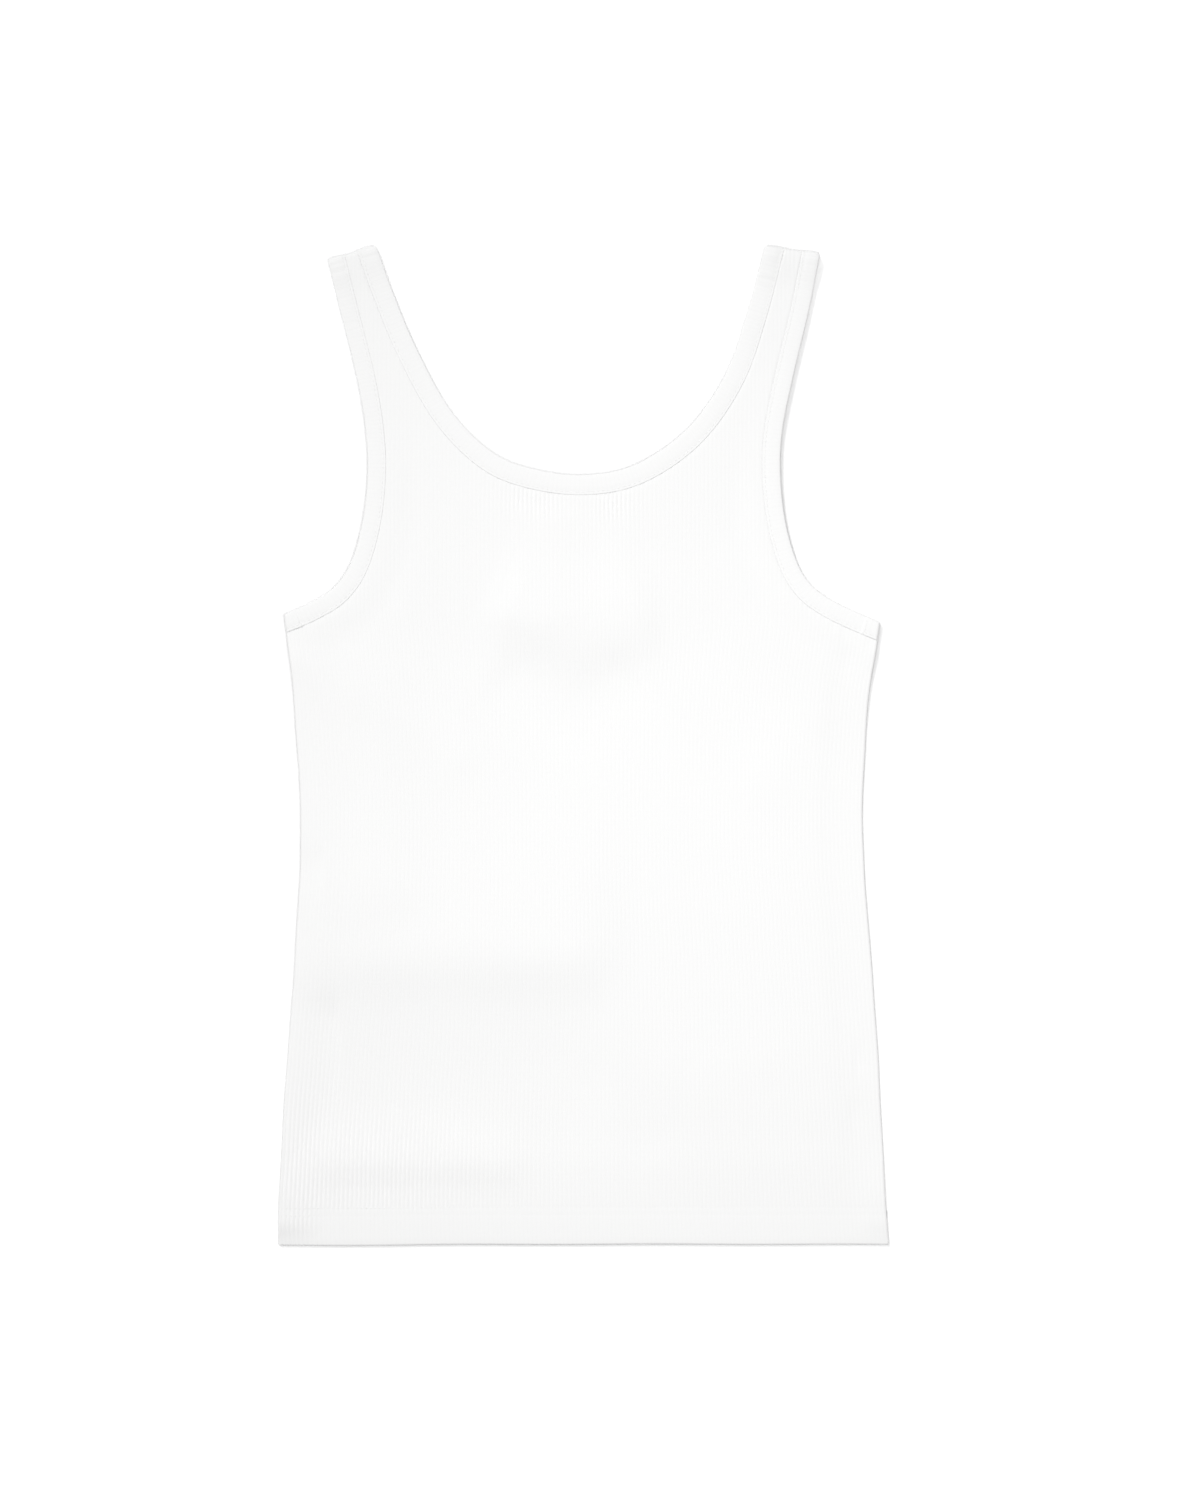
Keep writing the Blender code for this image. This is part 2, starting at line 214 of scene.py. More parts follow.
def spaced(start: float, end: float, pitch: float) -> np.ndarray:
    """Even steps from start to end, both included, about pitch apart."""
    return np.linspace(start, end, max(2, round(abs(end - start) / pitch) + 1))


def bump(away: np.ndarray, width: float) -> np.ndarray:
    """A soft bell, 1 where away is 0 and nearly 0 from twice the width."""
    return np.exp(-((away / width) ** 2))


class Line:
    """A polyline in the plane, which answers for many points at once."""

    def __init__(self, points: np.ndarray) -> None:
        """Keep the points and measure the stretches between them.

        Args:
            points: a row of x and y for each point.
        """
        self.points = np.asarray(points, dtype=float)
        self.runs = np.diff(self.points, axis=0)
        self.lengths = np.linalg.norm(self.runs, axis=1)
        self.walked = np.concatenate([[0.0], np.cumsum(self.lengths)])

    @classmethod
    def through(cls, rows: Sequence[Sequence[float]], spacing: float = LINE_STEP) -> Line:
        """A smooth curve through some points.

        Args:
            rows: x and y of each point.
            spacing: even distance between the points that make up the curve.

        Returns:
            The curve.
        """
        knots = np.array(rows, dtype=float)
        knots = np.vstack([2 * knots[0] - knots[1], knots, 2 * knots[-1] - knots[-2]])
        t = np.linspace(0.0, 1.0, SPLINE_STEPS, endpoint=False)[:, None]
        parts = []
        for a, b, c, d in zip(knots, knots[1:], knots[2:], knots[3:]):
            bent = (2 * a - 5 * b + 4 * c - d) * t**2 + (3 * b - a - 3 * c + d) * t**3
            parts.append(0.5 * (2 * b + (c - a) * t + bent))
        return cls(np.vstack([*parts, knots[-2:-1]])).spread(spacing)

    @property
    def length(self) -> float:
        """Length of the whole line."""
        return float(self.walked[-1])

    def at(self, walked: np.ndarray) -> np.ndarray:
        """Points at given distances along the line."""
        return np.column_stack([np.interp(walked, self.walked, axis) for axis in self.points.T])

    def spread(self, spacing: float) -> Line:
        """The same line with points at an even spacing."""
        return Line(self.at(spaced(0.0, self.length, spacing)))

    def rightwards(self, walked: np.ndarray) -> np.ndarray:
        """Direction square to the line, to the right as it runs."""
        run = unit(self.at(np.add(walked, LINE_STEP)) - self.at(np.subtract(walked, LINE_STEP)))
        return np.column_stack([run[:, 1], -run[:, 0]])

    def nearest(self, where: np.ndarray) -> tuple[np.ndarray, np.ndarray]:
        """How far points lie from the line.

        Args:
            where: a row of x and y for each point.

        Returns:
            The distance of each point, positive to the right of the line, and how far along
            the line its nearest place is.
        """
        depths, places = [], []
        for part in np.array_split(where, len(where) // CHUNK + 1):
            gap = part[:, None, :] - self.points[None, :-1, :]
            share = np.clip((gap * self.runs).sum(-1) / self.lengths**2, 0.0, 1.0)
            miss = gap - share[..., None] * self.runs
            far = np.hypot(miss[..., 0], miss[..., 1])
            best = far.argmin(1)
            pick = np.arange(len(part)), best
            left = self.runs[best, 0] * gap[pick][:, 1] - self.runs[best, 1] * gap[pick][:, 0]
            depths.append(np.where(left > 0.0, -far[pick], far[pick]))
            places.append(self.walked[best] + share[pick] * self.lengths[best])
        return np.concatenate(depths), np.concatenate(places)


@dataclass(frozen=True)
class Fold:
    """A straight fold: cloth past its axis bends over a roll and runs back beneath."""

    start: np.ndarray
    along: np.ndarray
    height: float
    radius: float
    up: int

    @classmethod
    def shoulder(cls, start: Point, end: Point) -> Fold:
        """The fold at the top of a strap, whose axis runs from start towards end."""
        first = np.array(start, dtype=float)
        return cls(first, unit(np.array(end, dtype=float) - first), MIDDLE, PANEL_ROLL, 1)

    @classmethod
    def hem(cls, height: float, up: int) -> Fold:
        """The fold at the lower edge of a panel, with its axis at the given height."""
        return cls(np.array([0.0, HEM_AXIS]), np.array([-1.0, 0.0]), height, HEM_ROLL, up)

    @property
    def over(self) -> np.ndarray:
        """Direction across the axis, out of the garment."""
        return np.array([-self.along[1], self.along[0]])

    def past(self, where: np.ndarray) -> np.ndarray:
        """How far points of the flat cloth lie beyond the axis."""
        return (where - self.start) @ self.over

    def turn(self, where: np.ndarray) -> np.ndarray:
        """Angle that the cloth has turned through, from 0 on top to pi beneath."""
        return np.clip(self.past(where) / self.radius, 0.0, math.pi)

    def bend(self, where: np.ndarray, offset: np.ndarray) -> np.ndarray:
        """Where flat cloth beyond the axis goes.

        Args:
            where: points of the flat cloth.
            offset: how far each lies outside the middle of the wall.

        Returns:
            A row of x, y and z for each point.
        """
        past, turn = self.past(where), self.turn(where)
        reach = (self.radius + offset) * np.sin(turn)
        reach -= np.maximum(0.0, past - math.pi * self.radius)
        flat = where + np.outer(reach - past, self.over)
        rise = self.up * (self.radius + offset) * np.cos(turn)
        return np.column_stack([flat, self.height + rise])


SHOULDERS = {
    Side.LEFT: Fold.shoulder(ARMHOLE_LEFT[-1], NECK[0]),
    Side.RIGHT: Fold.shoulder(NECK[-1], ARMHOLE_RIGHT[0]),
}
HEMS = {
    Layer.BACK: Fold.hem(3 * LAYER - GAP / 2, 1),
    Layer.FRONT: Fold.hem(LAYER - GAP / 2, -1),
}


# ---------------------------------------------------------------- the edges of the cloth
def side_line(side: Side) -> Line:
    """One side seam, from the lower edge to the underarm corner."""
    rows = [(getattr(row, side.value), row.height) for row in SIDE_SEAMS]
    return Line.through([*rows, CORNERS[side]])


SEAMS = {side: side_line(side) for side in Side}


def seam_at(side: Side, height: np.ndarray) -> np.ndarray:
    """Where a side seam lies at given heights, and straight on beyond its ends."""
    line = SEAMS[side].points
    return np.interp(height, line[:, 1], line[:, 0])


def down_seam(side: Side) -> np.ndarray:
    """Direction of a side seam just below the underarm, pointing down."""
    line = SEAMS[side].points
    return unit(line[-2] - line[-1])


@dataclass
class BoundEdge:
    """A bound edge of one layer, with its cloth on the right as it runs."""

    line: Line
    band: float
    first: np.ndarray
    last: np.ndarray
    blend: float = 14.0            # the ends' own ways in reach this far along the edge

    def inward(self, walked: np.ndarray) -> np.ndarray:
        """Way into the cloth.

        Args:
            walked: distances along the edge.

        Returns:
            A direction for each distance, square to the edge but for its ends' own ways.
        """
        way = self.line.rightwards(walked)
        for own, end in ((self.first, 0.0), (self.last, self.line.length)):
            share = smooth(np.abs(walked - end) / self.blend)[:, None]
            way = share * way + (1.0 - share) * own
        return unit(way)

    def inset(self, depth: float) -> np.ndarray:
        """Points of the edge moved into the cloth."""
        return self.line.points + depth * self.inward(self.line.walked)

    def depth(self, where: np.ndarray) -> np.ndarray:
        """How deep points lie in this edge's cloth, below 0 outside it."""
        return self.line.nearest(where)[0]


def deepened(points: np.ndarray) -> np.ndarray:
    """The back neckline moved down to the front neckline."""
    drop = FRONT_DROP * smooth((NECK_TOP - points[:, 1]) / (NECK_TOP - NECK_BOTTOM))
    return points - np.outer(drop, (0.0, 1.0))


def cut_in(points: np.ndarray) -> np.ndarray:
    """The back armhole moved further in between its two ends."""
    shift = FRONT_INSET * np.sin(np.linspace(0.0, math.pi, len(points)))
    return points - np.outer(shift, (np.sign(points[0, 0]), 0.0))


def bound_edges(layer: Layer) -> dict[str, BoundEdge]:
    """The three bound edges of one layer.

    Args:
        layer: the back or the front.

    Returns:
        The edges by name, in the order in which the layer's outline meets them.
    """
    neck, left, right = (Line.through(rows) for rows in (NECK, ARMHOLE_LEFT, ARMHOLE_RIGHT))
    if layer is Layer.FRONT:
        neck = Line(deepened(neck.points)).spread(LINE_STEP)
        left, right = Line(cut_in(left.points)), Line(cut_in(right.points))
    over_left, over_right = SHOULDERS[Side.LEFT].along, SHOULDERS[Side.RIGHT].along
    return {
        "left": BoundEdge(left, ARM_BAND, down_seam(Side.LEFT), over_left),
        "neck": BoundEdge(neck, NECK_BAND, -over_left, over_right),
        "right": BoundEdge(right, ARM_BAND, -over_right, down_seam(Side.RIGHT)),
    }


EDGES = {layer: bound_edges(layer) for layer in Layer}


# ---------------------------------------------------------------- how the cloth lies
@dataclass(frozen=True)
class Crease:
    """A soft ridge along a bowed line, or a trough where its height is below 0."""

    start: tuple[float, float]
    end: tuple[float, float]
    bow: float
    width: float                   # of its right side as it runs
    height: float
    lee: float = 0.0               # width of its left side, where it falls more slowly
    fade: float = 2.6              # above 1, its middle keeps its full height for a stretch

    def line(self) -> Line:
        """The crease's crown or bottom.

        Returns:
            A line from start to end, bowed to one side.
        """
        start, end = np.array(self.start), np.array(self.end)
        across = np.array([start[1] - end[1], end[0] - start[0]])
        middle = (start + end) / 2 + self.bow * across / np.linalg.norm(across)
        return Line.through([start, middle, end], self.width / 2)

    def relief(self, where: np.ndarray) -> np.ndarray:
        """Height that the crease adds to the cloth.

        Args:
            where: points of the flat cloth.

        Returns:
            A height for each point, which fades to nothing at both of the crease's ends.
        """
        line = self.line()
        away, walked = line.nearest(where)
        from_end = 1.0 - np.abs(2.0 * walked / line.length - 1.0)
        width = np.where(away < 0.0, self.lee or self.width, self.width)
        return self.height * bump(away, width) * smooth(self.fade * from_end)


# Creases of the back, which is on top.
BACK_CREASES = (
    Crease((-58.0, 54.0), (44.0, 50.0), -28.0, 26.0, -1.3, 18.0),  # smile below the neck
    Crease((-64.0, 92.0), (52.0, 90.0), -18.0, 19.0, 1.9, 40.0),   # swell above it
    Crease((-15.0, 62.0), (-17.0, 168.0), 2.0, 15.0, 0.8, 42.0),   # fall from the neck to it
    Crease((-196.0, -128.0), (36.0, -120.0), -7.0, 26.0, 2.7, 72.0),   # swell, lower left
    Crease((-196.0, -214.0), (24.0, -203.0), -8.0, 50.0, -1.3, 36.0),  # hollow below it
    Crease((-186.0, -177.0), (-148.0, -168.0), 3.0, 28.0, -1.1, 9.0),  # pull at the left seam
    Crease((-181.0, -76.0), (-158.0, -72.0), 2.0, 15.0, -0.6, 5.5),    # small pull above it
    Crease((-182.0, -262.0), (-26.0, -264.0), 2.0, 9.0, 1.3, 26.0),    # slack above the hem
    Crease((-119.0, -122.0), (-128.0, 74.0), 3.0, 21.0, 1.3, 44.0),    # long fall on the left
    Crease((181.0, -192.0), (166.0, -197.0), 1.0, 6.0, -0.5),      # pulls at the right seam
    Crease((182.0, -228.0), (163.0, -231.0), -1.0, 6.5, -0.45),
    Crease((184.0, 63.0), (158.0, 54.0), 2.0, 7.0, -0.5),          # below the right underarm
    Crease((60.0, -214.0), (150.0, -246.0), 6.0, 24.0, 0.2),       # slack towards the hem
    Crease((-6.0, -196.0), (44.0, -262.0), 8.0, 16.0, -0.3),
)

# Creases of the front, which lifts a little off the surface that it rests on.
FRONT_CREASES = (
    Crease((-158.0, 36.0), (-66.0, -24.0), 9.0, 14.0, 0.5),        # from the left underarm
    Crease((162.0, 28.0), (96.0, -40.0), -7.0, 16.0, 0.3),         # from the right underarm
    Crease((-44.0, 76.0), (52.0, 70.0), -16.0, 12.0, 0.45),        # smile below the neck
    Crease((-150.0, -128.0), (18.0, -150.0), 11.0, 18.0, 0.5),     # across the belly
    Crease((30.0, -206.0), (158.0, -176.0), -8.0, 17.0, 0.22),
    Crease((-124.0, -232.0), (-60.0, -262.0), 4.0, 10.0, 0.35),
)


class Ease(NamedTuple):
    """Lengths over which cloth falls from an armhole's band and from the neck's."""

    armhole: float
    neck: float

    def beside(self, edge: str) -> float:
        """The length beside one of the bound edges."""
        return self.neck if edge == "neck" else self.armhole


class SeamRise(NamedTuple):
    """How high a side seam's allowances lift the back, and over what width."""

    height: float
    width: float


SEAM_RISES = {Side.LEFT: SeamRise(2.6, 32.0), Side.RIGHT: SeamRise(0.9, 24.0)}
SPRINGS = {Side.LEFT: 0.6, Side.RIGHT: 1.05}   # the stack is this much thicker at each shoulder


@dataclass
class Lay:
    """How the layers of cloth lie on each other, as heights over the surface beneath."""

    where: np.ndarray              # x and y on the flat cloth of each point that is looked at
    near: Ease = Ease(19.0, 56.0)  # a panel falls from its own bands over these lengths
    far: Ease = Ease(70.0, 70.0)   # the back falls from the front's bands over these
    hem_ease: float = 45.0         # and from the turned-up hems over this one
    swell: float = 0.85            # a panel swells up this much beside its own bands
    swell_start: float = 1.2       # from so far under a band's sewn edge
    swell_length: float = 2.0
    strap_swell: float = 0.24      # and this much more along the straps
    strap_length: float = 0.9
    strap_start: float = 190.0
    strap_ease: float = 50.0
    press: float = 0.65            # share of its height that the stack of cloth keeps
    hem_press: float = 0.12        # the turned-up hems lose this share more
    slack: float = 1.2             # loose cloth lies this much higher than the layers' own height
    slack_ease: Ease = Ease(34.0, 85.0)
    sink: float = 0.2              # the back's troughs reach half of this into its gap at most
    edge_margin: float = 20.0      # creases fade within this distance of a bound or folded edge
    hem_share: float = 0.4         # and run on over the hems by this share of it
    scoop_margin: float = 1.0      # the back spans the front's scoop to so far past its own neck
    rise_start: float = 2.0        # the side seams' rise starts so far above the lower edge,
    rise_ease: float = 12.0        # grows over this length
    rise_fade: float = 10.0        # and fades over this one below the armholes' bands
    spring_length: float = 24.0
    depths: dict[Layer, dict[str, np.ndarray]] = field(init=False)
    over_hem: np.ndarray = field(init=False)
    from_seam: dict[Side, np.ndarray] = field(init=False)
    from_side: np.ndarray = field(init=False)

    def __post_init__(self) -> None:
        """Measure the points against every edge."""
        self.depths = {
            layer: {name: edge.depth(self.where) for name, edge in EDGES[layer].items()}
            for layer in Layer
        }
        self.over_hem = self.where[:, 1] - (HEM_FOLD + HEM_DEPTH + CLEAR)
        self.from_seam = {
            Side.LEFT: self.where[:, 0] - seam_at(Side.LEFT, self.where[:, 1]),
            Side.RIGHT: seam_at(Side.RIGHT, self.where[:, 1]) - self.where[:, 0],
        }
        self.from_side = np.minimum(*self.from_seam.values())

    def held(self, layer: Layer, ease: Ease) -> np.ndarray:
        """How much one layer's bindings hold the cloth up.

        Args:
            layer: the layer.
            ease: how far their hold reaches.

        Returns:
            1 at the bindings, easing to 0 in the open cloth on both sides of them.
        """
        free = np.ones(len(self.where))
        for name, edge in EDGES[layer].items():
            depth = self.depths[layer][name]
            beyond = np.where(depth > 0.0, depth - edge.band, -depth) - CLEAR
            free *= smooth(beyond / ease.beside(name))
        return 1.0 - free * (1.0 - smooth((self.where[:, 1] - STRAP_LOW) / STRAP_RISE))

    def turned(self) -> np.ndarray:
        """1 over the turned-up hems, easing to 0 above them."""
        return 1.0 - smooth(self.over_hem / self.hem_ease)

    def open_cloth(self) -> np.ndarray:
        """How loosely the back lies.

        Returns:
            0 at every edge of the back, easing to 1 in its open cloth.
        """
        beside = self.slack_ease.armhole
        share = smooth(self.over_hem / beside) * smooth(self.from_side / beside)
        for name, edge in EDGES[Layer.BACK].items():
            depth = self.depths[Layer.BACK][name] - edge.band
            share *= smooth(depth / self.slack_ease.beside(name))
        return share

    def creased(self, layer: Layer, creases: Sequence[Crease]) -> np.ndarray:
        """Height of some creases.

        Args:
            layer: the layer at whose bound and folded edges they fade.
            creases: the creases.

        Returns:
            A height for each point.
        """
        free = smooth(self.over_hem / self.edge_margin + self.hem_share)
        for name, edge in EDGES[layer].items():
            free = free * smooth((self.depths[layer][name] - edge.band) / self.edge_margin)
        return free * sum(crease.relief(self.where) for crease in creases)

    def relief(self, layer: Layer) -> np.ndarray:
        """Creases and slack of one layer, before the stack is pressed.

        Args:
            layer: the layer; the back lies over the front's creases too.

        Returns:
            A height for each point.
        """
        height = self.creased(layer, FRONT_CREASES)
        if layer is Layer.FRONT:
            return height / self.press
        own = self.creased(layer, BACK_CREASES) + self.slack * self.open_cloth()
        own = (own + np.hypot(own, self.sink) - self.sink) / 2.0
        return (height + own) / self.press + self.side_rise()

    def side_rise(self) -> np.ndarray:
        """Rise of the back over the side seams' allowances, before the stack is pressed.

        Returns:
            A height for each point.
        """
        height = self.where[:, 1]
        low = smooth((height - HEM_FOLD - self.rise_start) / self.rise_ease)
        high = smooth((CORNERS[Side.RIGHT].y - ARM_BAND - height) / self.rise_fade)
        return low * high * sum(
            rise.height / self.press * (1.0 - smooth(self.from_seam[side] / rise.width))
            for side, rise in SEAM_RISES.items()
        )

    def bed(self) -> np.ndarray:
        """Height of what the back's lowest cloth lies on, its gap included.

        Returns:
            A height for each point; inside the front's scoop the back spans it at full height.
        """
        front, back = (self.depths[layer]["neck"] for layer in (Layer.FRONT, Layer.BACK))
        scoop = (front < 0.0) & (back > -self.scoop_margin)
        held = np.where(scoop, 1.0, self.held(Layer.FRONT, self.far))
        return LAYER * (1.0 + 2.0 * held + self.turned())

    def underside(self, layer: Layer) -> np.ndarray:
        """Height of a panel's underside.

        Args:
            layer: the panel's layer.

        Returns:
            A height for each point.
        """
        own = self.held(layer, self.near)
        if layer is Layer.FRONT:
            return LAYER * own + self.relief(layer)
        return self.bed() + LAYER * (own + self.turned()) + self.relief(layer)

    def lift(self, layer: Layer) -> np.ndarray:
        """How far a panel swells outwards beside its own bands, nearly level with them.

        Args:
            layer: the panel's layer.

        Returns:
            A height for each point.
        """
        clear = self.past_bands(layer)
        swell = self.swell * smooth((clear + self.swell_start) / self.swell_length)
        high = smooth((self.where[:, 1] - self.strap_start) / self.strap_ease)
        more = self.strap_swell * high * smooth((clear + GAP / 2) / self.strap_length)
        return self.held(layer, self.near) * (swell + more)

    def past_bands(self, layer: Layer) -> np.ndarray:
        """How far points lie beyond the nearest sewn edge of a layer's bindings."""
        depths = self.depths[layer]
        return np.min([depths[name] - edge.band for name, edge in EDGES[layer].items()], axis=0)

    def pressed(self) -> np.ndarray:
        """Share of its height that the stack of cloth keeps at each point."""
        return self.press * (1.0 - self.hem_press * self.turned())

    def seam_height(self) -> np.ndarray:
        """Height at which the two panels meet at a side seam.

        Returns:
            A height for each point, half way between both panels.
        """
        front = LAYER * self.held(Layer.FRONT, self.near) + CLOTH
        back = self.bed() + LAYER * (self.held(Layer.BACK, self.near) + self.turned())
        return (front + back + self.side_rise()) / 2

    def sprung(self, turn: np.ndarray) -> np.ndarray:
        """How the back stands over the stack's middle near a shoulder's fold.

        Args:
            turn: angle that the cloth has turned through over the shoulder.

        Returns:
            How many times its own height it stands at each point.
        """
        higher = np.ones(len(self.where))
        for side, fold in SHOULDERS.items():
            before = smooth(-fold.past(self.where) / self.spring_length)
            higher += SPRINGS[side] * (1.0 - np.maximum(before, smooth(turn / math.pi)))
        return higher


# ---------------------------------------------------------------- the rib
@dataclass(frozen=True)
class Gather:
    """A place where the knit is pulled together, so that its ribs stand higher."""

    centre: tuple[float, float]
    reach: tuple[float, float]
    gain: float

    def at(self, where: np.ndarray) -> np.ndarray:
        """Share that the place adds to the ribs' height."""
        away = (where - np.array(self.centre)) / np.array(self.reach)
        return self.gain * np.exp(-(away**2).sum(axis=1))


# Negative gains are places where the knit is stretched.
GATHERS = (
    Gather((-150.0, -264.0), (84.0, 38.0), 6.4),     # above the hem on the left
    Gather((-172.0, -120.0), (30.0, 150.0), 0.7),    # along the left side
    Gather((-32.0, 151.0), (19.0, 10.0), 6.0),       # under the neck's seam
    Gather((19.0, 149.0), (13.0, 10.0), 5.4),
    Gather((-178.0, -294.0), (16.0, 9.0), 2.2),      # the hem's left corner
    Gather((100.0, -20.0), (100.0, 190.0), -0.45),
    Gather((-140.0, 265.0), (40.0, 70.0), -0.45),
    Gather((122.0, 265.0), (40.0, 70.0), -0.35),
)


class Rib:
    """Section of the rib knit, whose phase runs from 0 in one groove to 1 in the next."""

    phases: tuple[float, ...] = (0.0, 0.22, 0.5, 0.78)   # where a rib has its points
    sharpness: float = 0.25        # of its grooves
    even: float = 0.85             # share of a gather that every rib takes
    uneven: float = 0.4            # and the share that some take more of than others

    @classmethod
    def sink(cls, count: np.ndarray) -> np.ndarray:
        """0 on the crown of a rib and 1 in its groove, for positions counted in ribs."""
        sunk = np.cos(math.pi * count) ** 2
        return sunk * (1.0 - cls.sharpness * (1.0 - sunk))

    @classmethod
    def gathered(cls, where: np.ndarray, count: np.ndarray) -> np.ndarray:
        """How much higher than usual the ribs stand.

        Args:
            where: points of the flat cloth.
            count: their positions counted in ribs.

        Returns:
            How many times their own height they stand, unevenly from one rib to the next.
        """
        rib = np.floor(count)
        wander = np.sin(2.1 * rib + 0.6 * np.sin(0.7 * rib)) * np.sin(0.16 * where[:, 1] + 1.3 * rib)
        return 1.0 + sum(gather.at(where) for gather in GATHERS) * (cls.even + cls.uneven * wander)

    @classmethod
    def columns(cls, ribs: int) -> np.ndarray:
        """Positions of all points across a number of ribs."""
        return (np.arange(ribs)[:, None] + np.array(cls.phases)).ravel()


# ---------------------------------------------------------------- meshes
def make_object(
    name: str, vertices: np.ndarray, faces: Sequence[Sequence[int]], knit: np.ndarray
) -> bpy.types.Object:
    """One object with its faces pointing outwards and no loose vertices.

    Args:
        name: the object's name.
        vertices: a row of x, y and z in millimetres for each vertex.
        faces: the vertices of each face.
        knit: knit coordinates, a row for each corner of each face in turn.

    Returns:
        The object, linked to the scene.
    """
    mesh = bpy.data.meshes.new(name)
    mesh.from_pydata((vertices * MM).tolist(), [], faces)
    layer = mesh.uv_layers.new(name=KNIT_MAP)
    layer.uv.foreach_set("vector", np.asarray(knit, dtype=np.float32).ravel())
    turned = bmesh.new()
    turned.from_mesh(mesh)
    bmesh.ops.recalc_face_normals(turned, faces=turned.faces)
    loose = [vertex for vertex in turned.verts if not vertex.link_faces]
    bmesh.ops.delete(turned, geom=loose, context="VERTS")
    turned.to_mesh(mesh)
    turned.free()
    mesh.shade_smooth()
    thing = bpy.data.objects.new(name, mesh)
    bpy.context.scene.collection.objects.link(thing)
    return thing


def dress(thing: bpy.types.Object, material: bpy.types.Material) -> None:
    """Give a piece its finish and its body.

    Args:
        thing: the piece.
        material: its finish.
    """
    thing.data.materials.append(material)
    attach(thing, BODY)


def report(thing: bpy.types.Object) -> None:
    """Tell what a finished piece holds."""
    corners = sum(len(face.vertices) - 2 for face in thing.data.polygons)
    log.info("%s: %d triangles", thing.name, corners)


@dataclass
class Chain:
    """A row of vertices in order across the cloth, with their positions counted in ribs."""

    index: list[int]
    count: list[float]

    def cut(self, count: float) -> tuple[Chain, Chain]:
        """Cut the row in two.

        Args:
            count: position of the cut.

        Returns:
            Both parts, which share the vertex nearest to the cut.
        """
        at = int(np.argmin(np.abs(np.array(self.count) - count)))
        return (
            Chain(self.index[: at + 1], self.count[: at + 1]),
            Chain(self.index[at:], self.count[at:]),
        )


def zipped(low: Chain, high: Chain) -> list[tuple[int, ...]]:
    """Faces that fill the strip between two rows.

    Args:
        low: one row.
        high: the next row.

    Returns:
        Quads where both rows have a vertex at one position, and triangles elsewhere.
    """
    faces, i, j = [], 0, 0
    last_low, last_high = len(low.index) - 1, len(high.index) - 1
    while i < last_low or j < last_high:
        step_low = low.count[i + 1] if i < last_low else math.inf
        step_high = high.count[j + 1] if j < last_high else math.inf
        face = [low.index[i]]
        if step_low <= step_high + SAME:
            i += 1
            face.append(low.index[i])
        if step_high <= step_low + SAME:
            face.append(high.index[j + 1])
            face.append(high.index[j])
            j += 1
        else:
            face.append(high.index[j])
        face = tuple(dict.fromkeys(face))
        if len(face) > 2:
            faces.append(face)
    return faces


@dataclass
class Span:
    """One stretch of cloth in a row: its outer and its inner face share both end vertices."""

    start: float
    end: float
    outer: Chain
    inner: Chain


